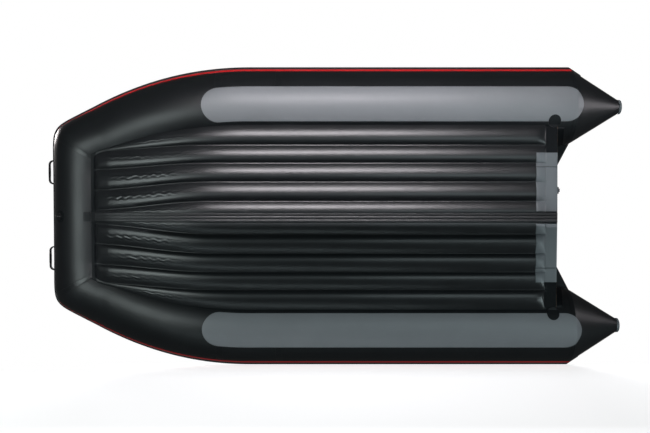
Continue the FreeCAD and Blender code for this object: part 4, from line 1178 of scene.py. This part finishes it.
def white_world():
    """White for the camera, and a low grey fill for all other light."""
    world = bpy.data.worlds.new("studio")
    bpy.context.scene.world = world
    world.use_nodes = True
    tree = world.node_tree
    path = add_node(tree, "ShaderNodeLightPath").outputs
    shown = add_node(tree, "ShaderNodeMath", operation="ADD", use_clamp=True,
                     inputs={0: path["Is Camera Ray"], 1: path["Is Transmission Ray"]}).outputs[0]
    level = add_node(tree, "ShaderNodeMix", {0: shown, 2: WORLD_FILL, 3: 1.0}).outputs[0]
    background = tree.nodes["Background"].inputs
    feed(tree, background["Strength"], level)
    feed(tree, background["Color"], WHITE)


class BOAT_OT_studio(bpy.types.Operator):
    """Set the floor, the backdrop, the lamps and the camera"""
    bl_idname = "boat.studio"
    bl_label = "Studio"

    def execute(self, context):
        scene, studio = context.scene, context.scene.studio
        scene.view_settings.view_transform = "Standard"
        white_world()
        ground = one_sided("ground", (0.45, 0.45, 0.46), 0.66)
        corners = ((-1, -1), (1, -1), (1, 1), (-1, 1))
        plane("ground", [(GROUND_HALF * x, GROUND_HALF * y, 0) for x, y in corners], ground)
        wall = one_sided("backdrop", (0.85, 0.85, 0.86), 0.71)
        side_y = cad_box[0][1] - 0.001
        plane("backdrop_low", upright(-6, 6, side_y, -4, 0), wall)
        plane("backdrop_high", upright(-1.9, 1.3, side_y, 0, 0.2), wall)

        softbox("port_key", (0.1, 2.0, -3.6), (-0.1, 0.3, 0.1), (2.4, 0.9), 19, LILAC, 60)
        black = principled("flag", Base_Color=(0, 0, 0, 1), Specular_IOR_Level=0)[0]
        plane("flag", upright(-1.4, 1.2, -0.03, -1.0, -0.02), black).visible_camera = False
        softbox("stern_front", (-1.3, 0.0, -3.6), (-0.8, 0, 0.1), (1.1, 1.9), 15, TEAL)
        softbox("bow_front", (3.4, -0.1, -3.6), (0.8, 0, 0.1), (1.6, 2.0), 60, PALE_TEAL)
        softbox("middle_front", (1.1, 0.0, -3.6), (0.4, 0, 0.1), (1.0, 2.2), 5, TEAL)
        softbox("starboard_front", (1.8, -3.6, -3.6), (0.3, -0.3, 0.1), (6.5, 0.9), 25, TEAL)
        softbox("stern_far", (-4.2, -1.8, -3.4), (-1.2, 0, 0.1), (1.2, 2.6), 60, TEAL)
        softbox("bow_edge", (3.4, 1.0, 2.7), (1.6, 0.4, 0.35), (0.6, 0.9), 3.0, ROSE, 60)
        softbox("cone_light", (-4.9, 0.8, -0.55), (-1.5, 0.6, 0.15), (0.8, 1.6), 3.2, LILAC, 60)
        side = softbox("port_side", (-0.2, 4.4, -0.3), (-0.2, 0.8, 0.2), (3.6, 0.5), 36, PLAIN)
        softbox("sky", (0.0, 0.0, 3.6), (0, 0, 0), (1.6, 0.8), 70, PLAIN)
        fill = softbox("sky_fill", (0.0, 0.0, 3.8), (0, 0, 0), (3.0, 2.0), 200, PLAIN)
        side.visible_glossy = fill.visible_glossy = False

        camera = new_object("camera", bpy.data.cameras.new("camera"))
        scene.camera = camera
        camera.data.sensor_width = 36.0
        camera.data.lens = studio.focal_length
        target = Vector((0.015, 0.0, TUBE_Z))
        place = Vector((target.x, studio.camera_side, TUBE_Z - studio.camera_distance))
        ahead = (target - place).normalized()
        right = ahead.cross(Vector((0, 1, 0))).normalized()
        above = right.cross(ahead)
        turn = Matrix((right, above, -ahead)).transposed().to_4x4()
        camera.matrix_world = Matrix.Translation(place) @ turn
        return {"FINISHED"}


class BOAT_PT_panel(bpy.types.Panel):
    """Sidebar panel with the boat's settings and steps"""
    bl_idname = "BOAT_PT_panel"
    bl_label = "Inflatable boat"
    bl_space_type = "VIEW_3D"
    bl_region_type = "UI"
    bl_category = "Boat"

    def draw(self, context):
        layout = self.layout
        for group in (context.scene.boat_finish, context.scene.boat_relief, context.scene.studio):
            column = layout.column(align=True)
            for name in group.bl_rna.properties.keys():
                if name not in ("rna_type", "name"):
                    column.prop(group, name)
        for step in STEPS:
            layout.operator(step.bl_idname)


STEPS = (
    BOAT_OT_tubes,
    BOAT_OT_seam_tapes,
    BOAT_OT_cone_caps,
    BOAT_OT_rub_rails,
    BOAT_OT_red_stripes,
    BOAT_OT_wear_pads,
    BOAT_OT_floor,
    BOAT_OT_keel_strip,
    BOAT_OT_patches,
    BOAT_OT_bow_handles,
    BOAT_OT_tow_eye,
    BOAT_OT_transom,
    BOAT_OT_cockpit,
    BOAT_OT_studio,
)
GROUPS = (BoatFinish, BoatRelief, StudioSettings)


def register():
    for item in GROUPS + STEPS + (BOAT_PT_panel,):
        bpy.utils.register_class(item)
    bpy.types.Scene.boat_finish = PointerProperty(type=BoatFinish)
    bpy.types.Scene.boat_relief = PointerProperty(type=BoatRelief)
    bpy.types.Scene.studio = PointerProperty(type=StudioSettings)


def unregister():
    del bpy.types.Scene.studio
    del bpy.types.Scene.boat_relief
    del bpy.types.Scene.boat_finish
    for item in reversed(GROUPS + STEPS + (BOAT_PT_panel,)):
        bpy.utils.unregister_class(item)


def main():
    register()
    for step in STEPS:
        getattr(bpy.ops.boat, step.bl_idname.split(".")[1])()


if __name__ == "__main__":
    main()
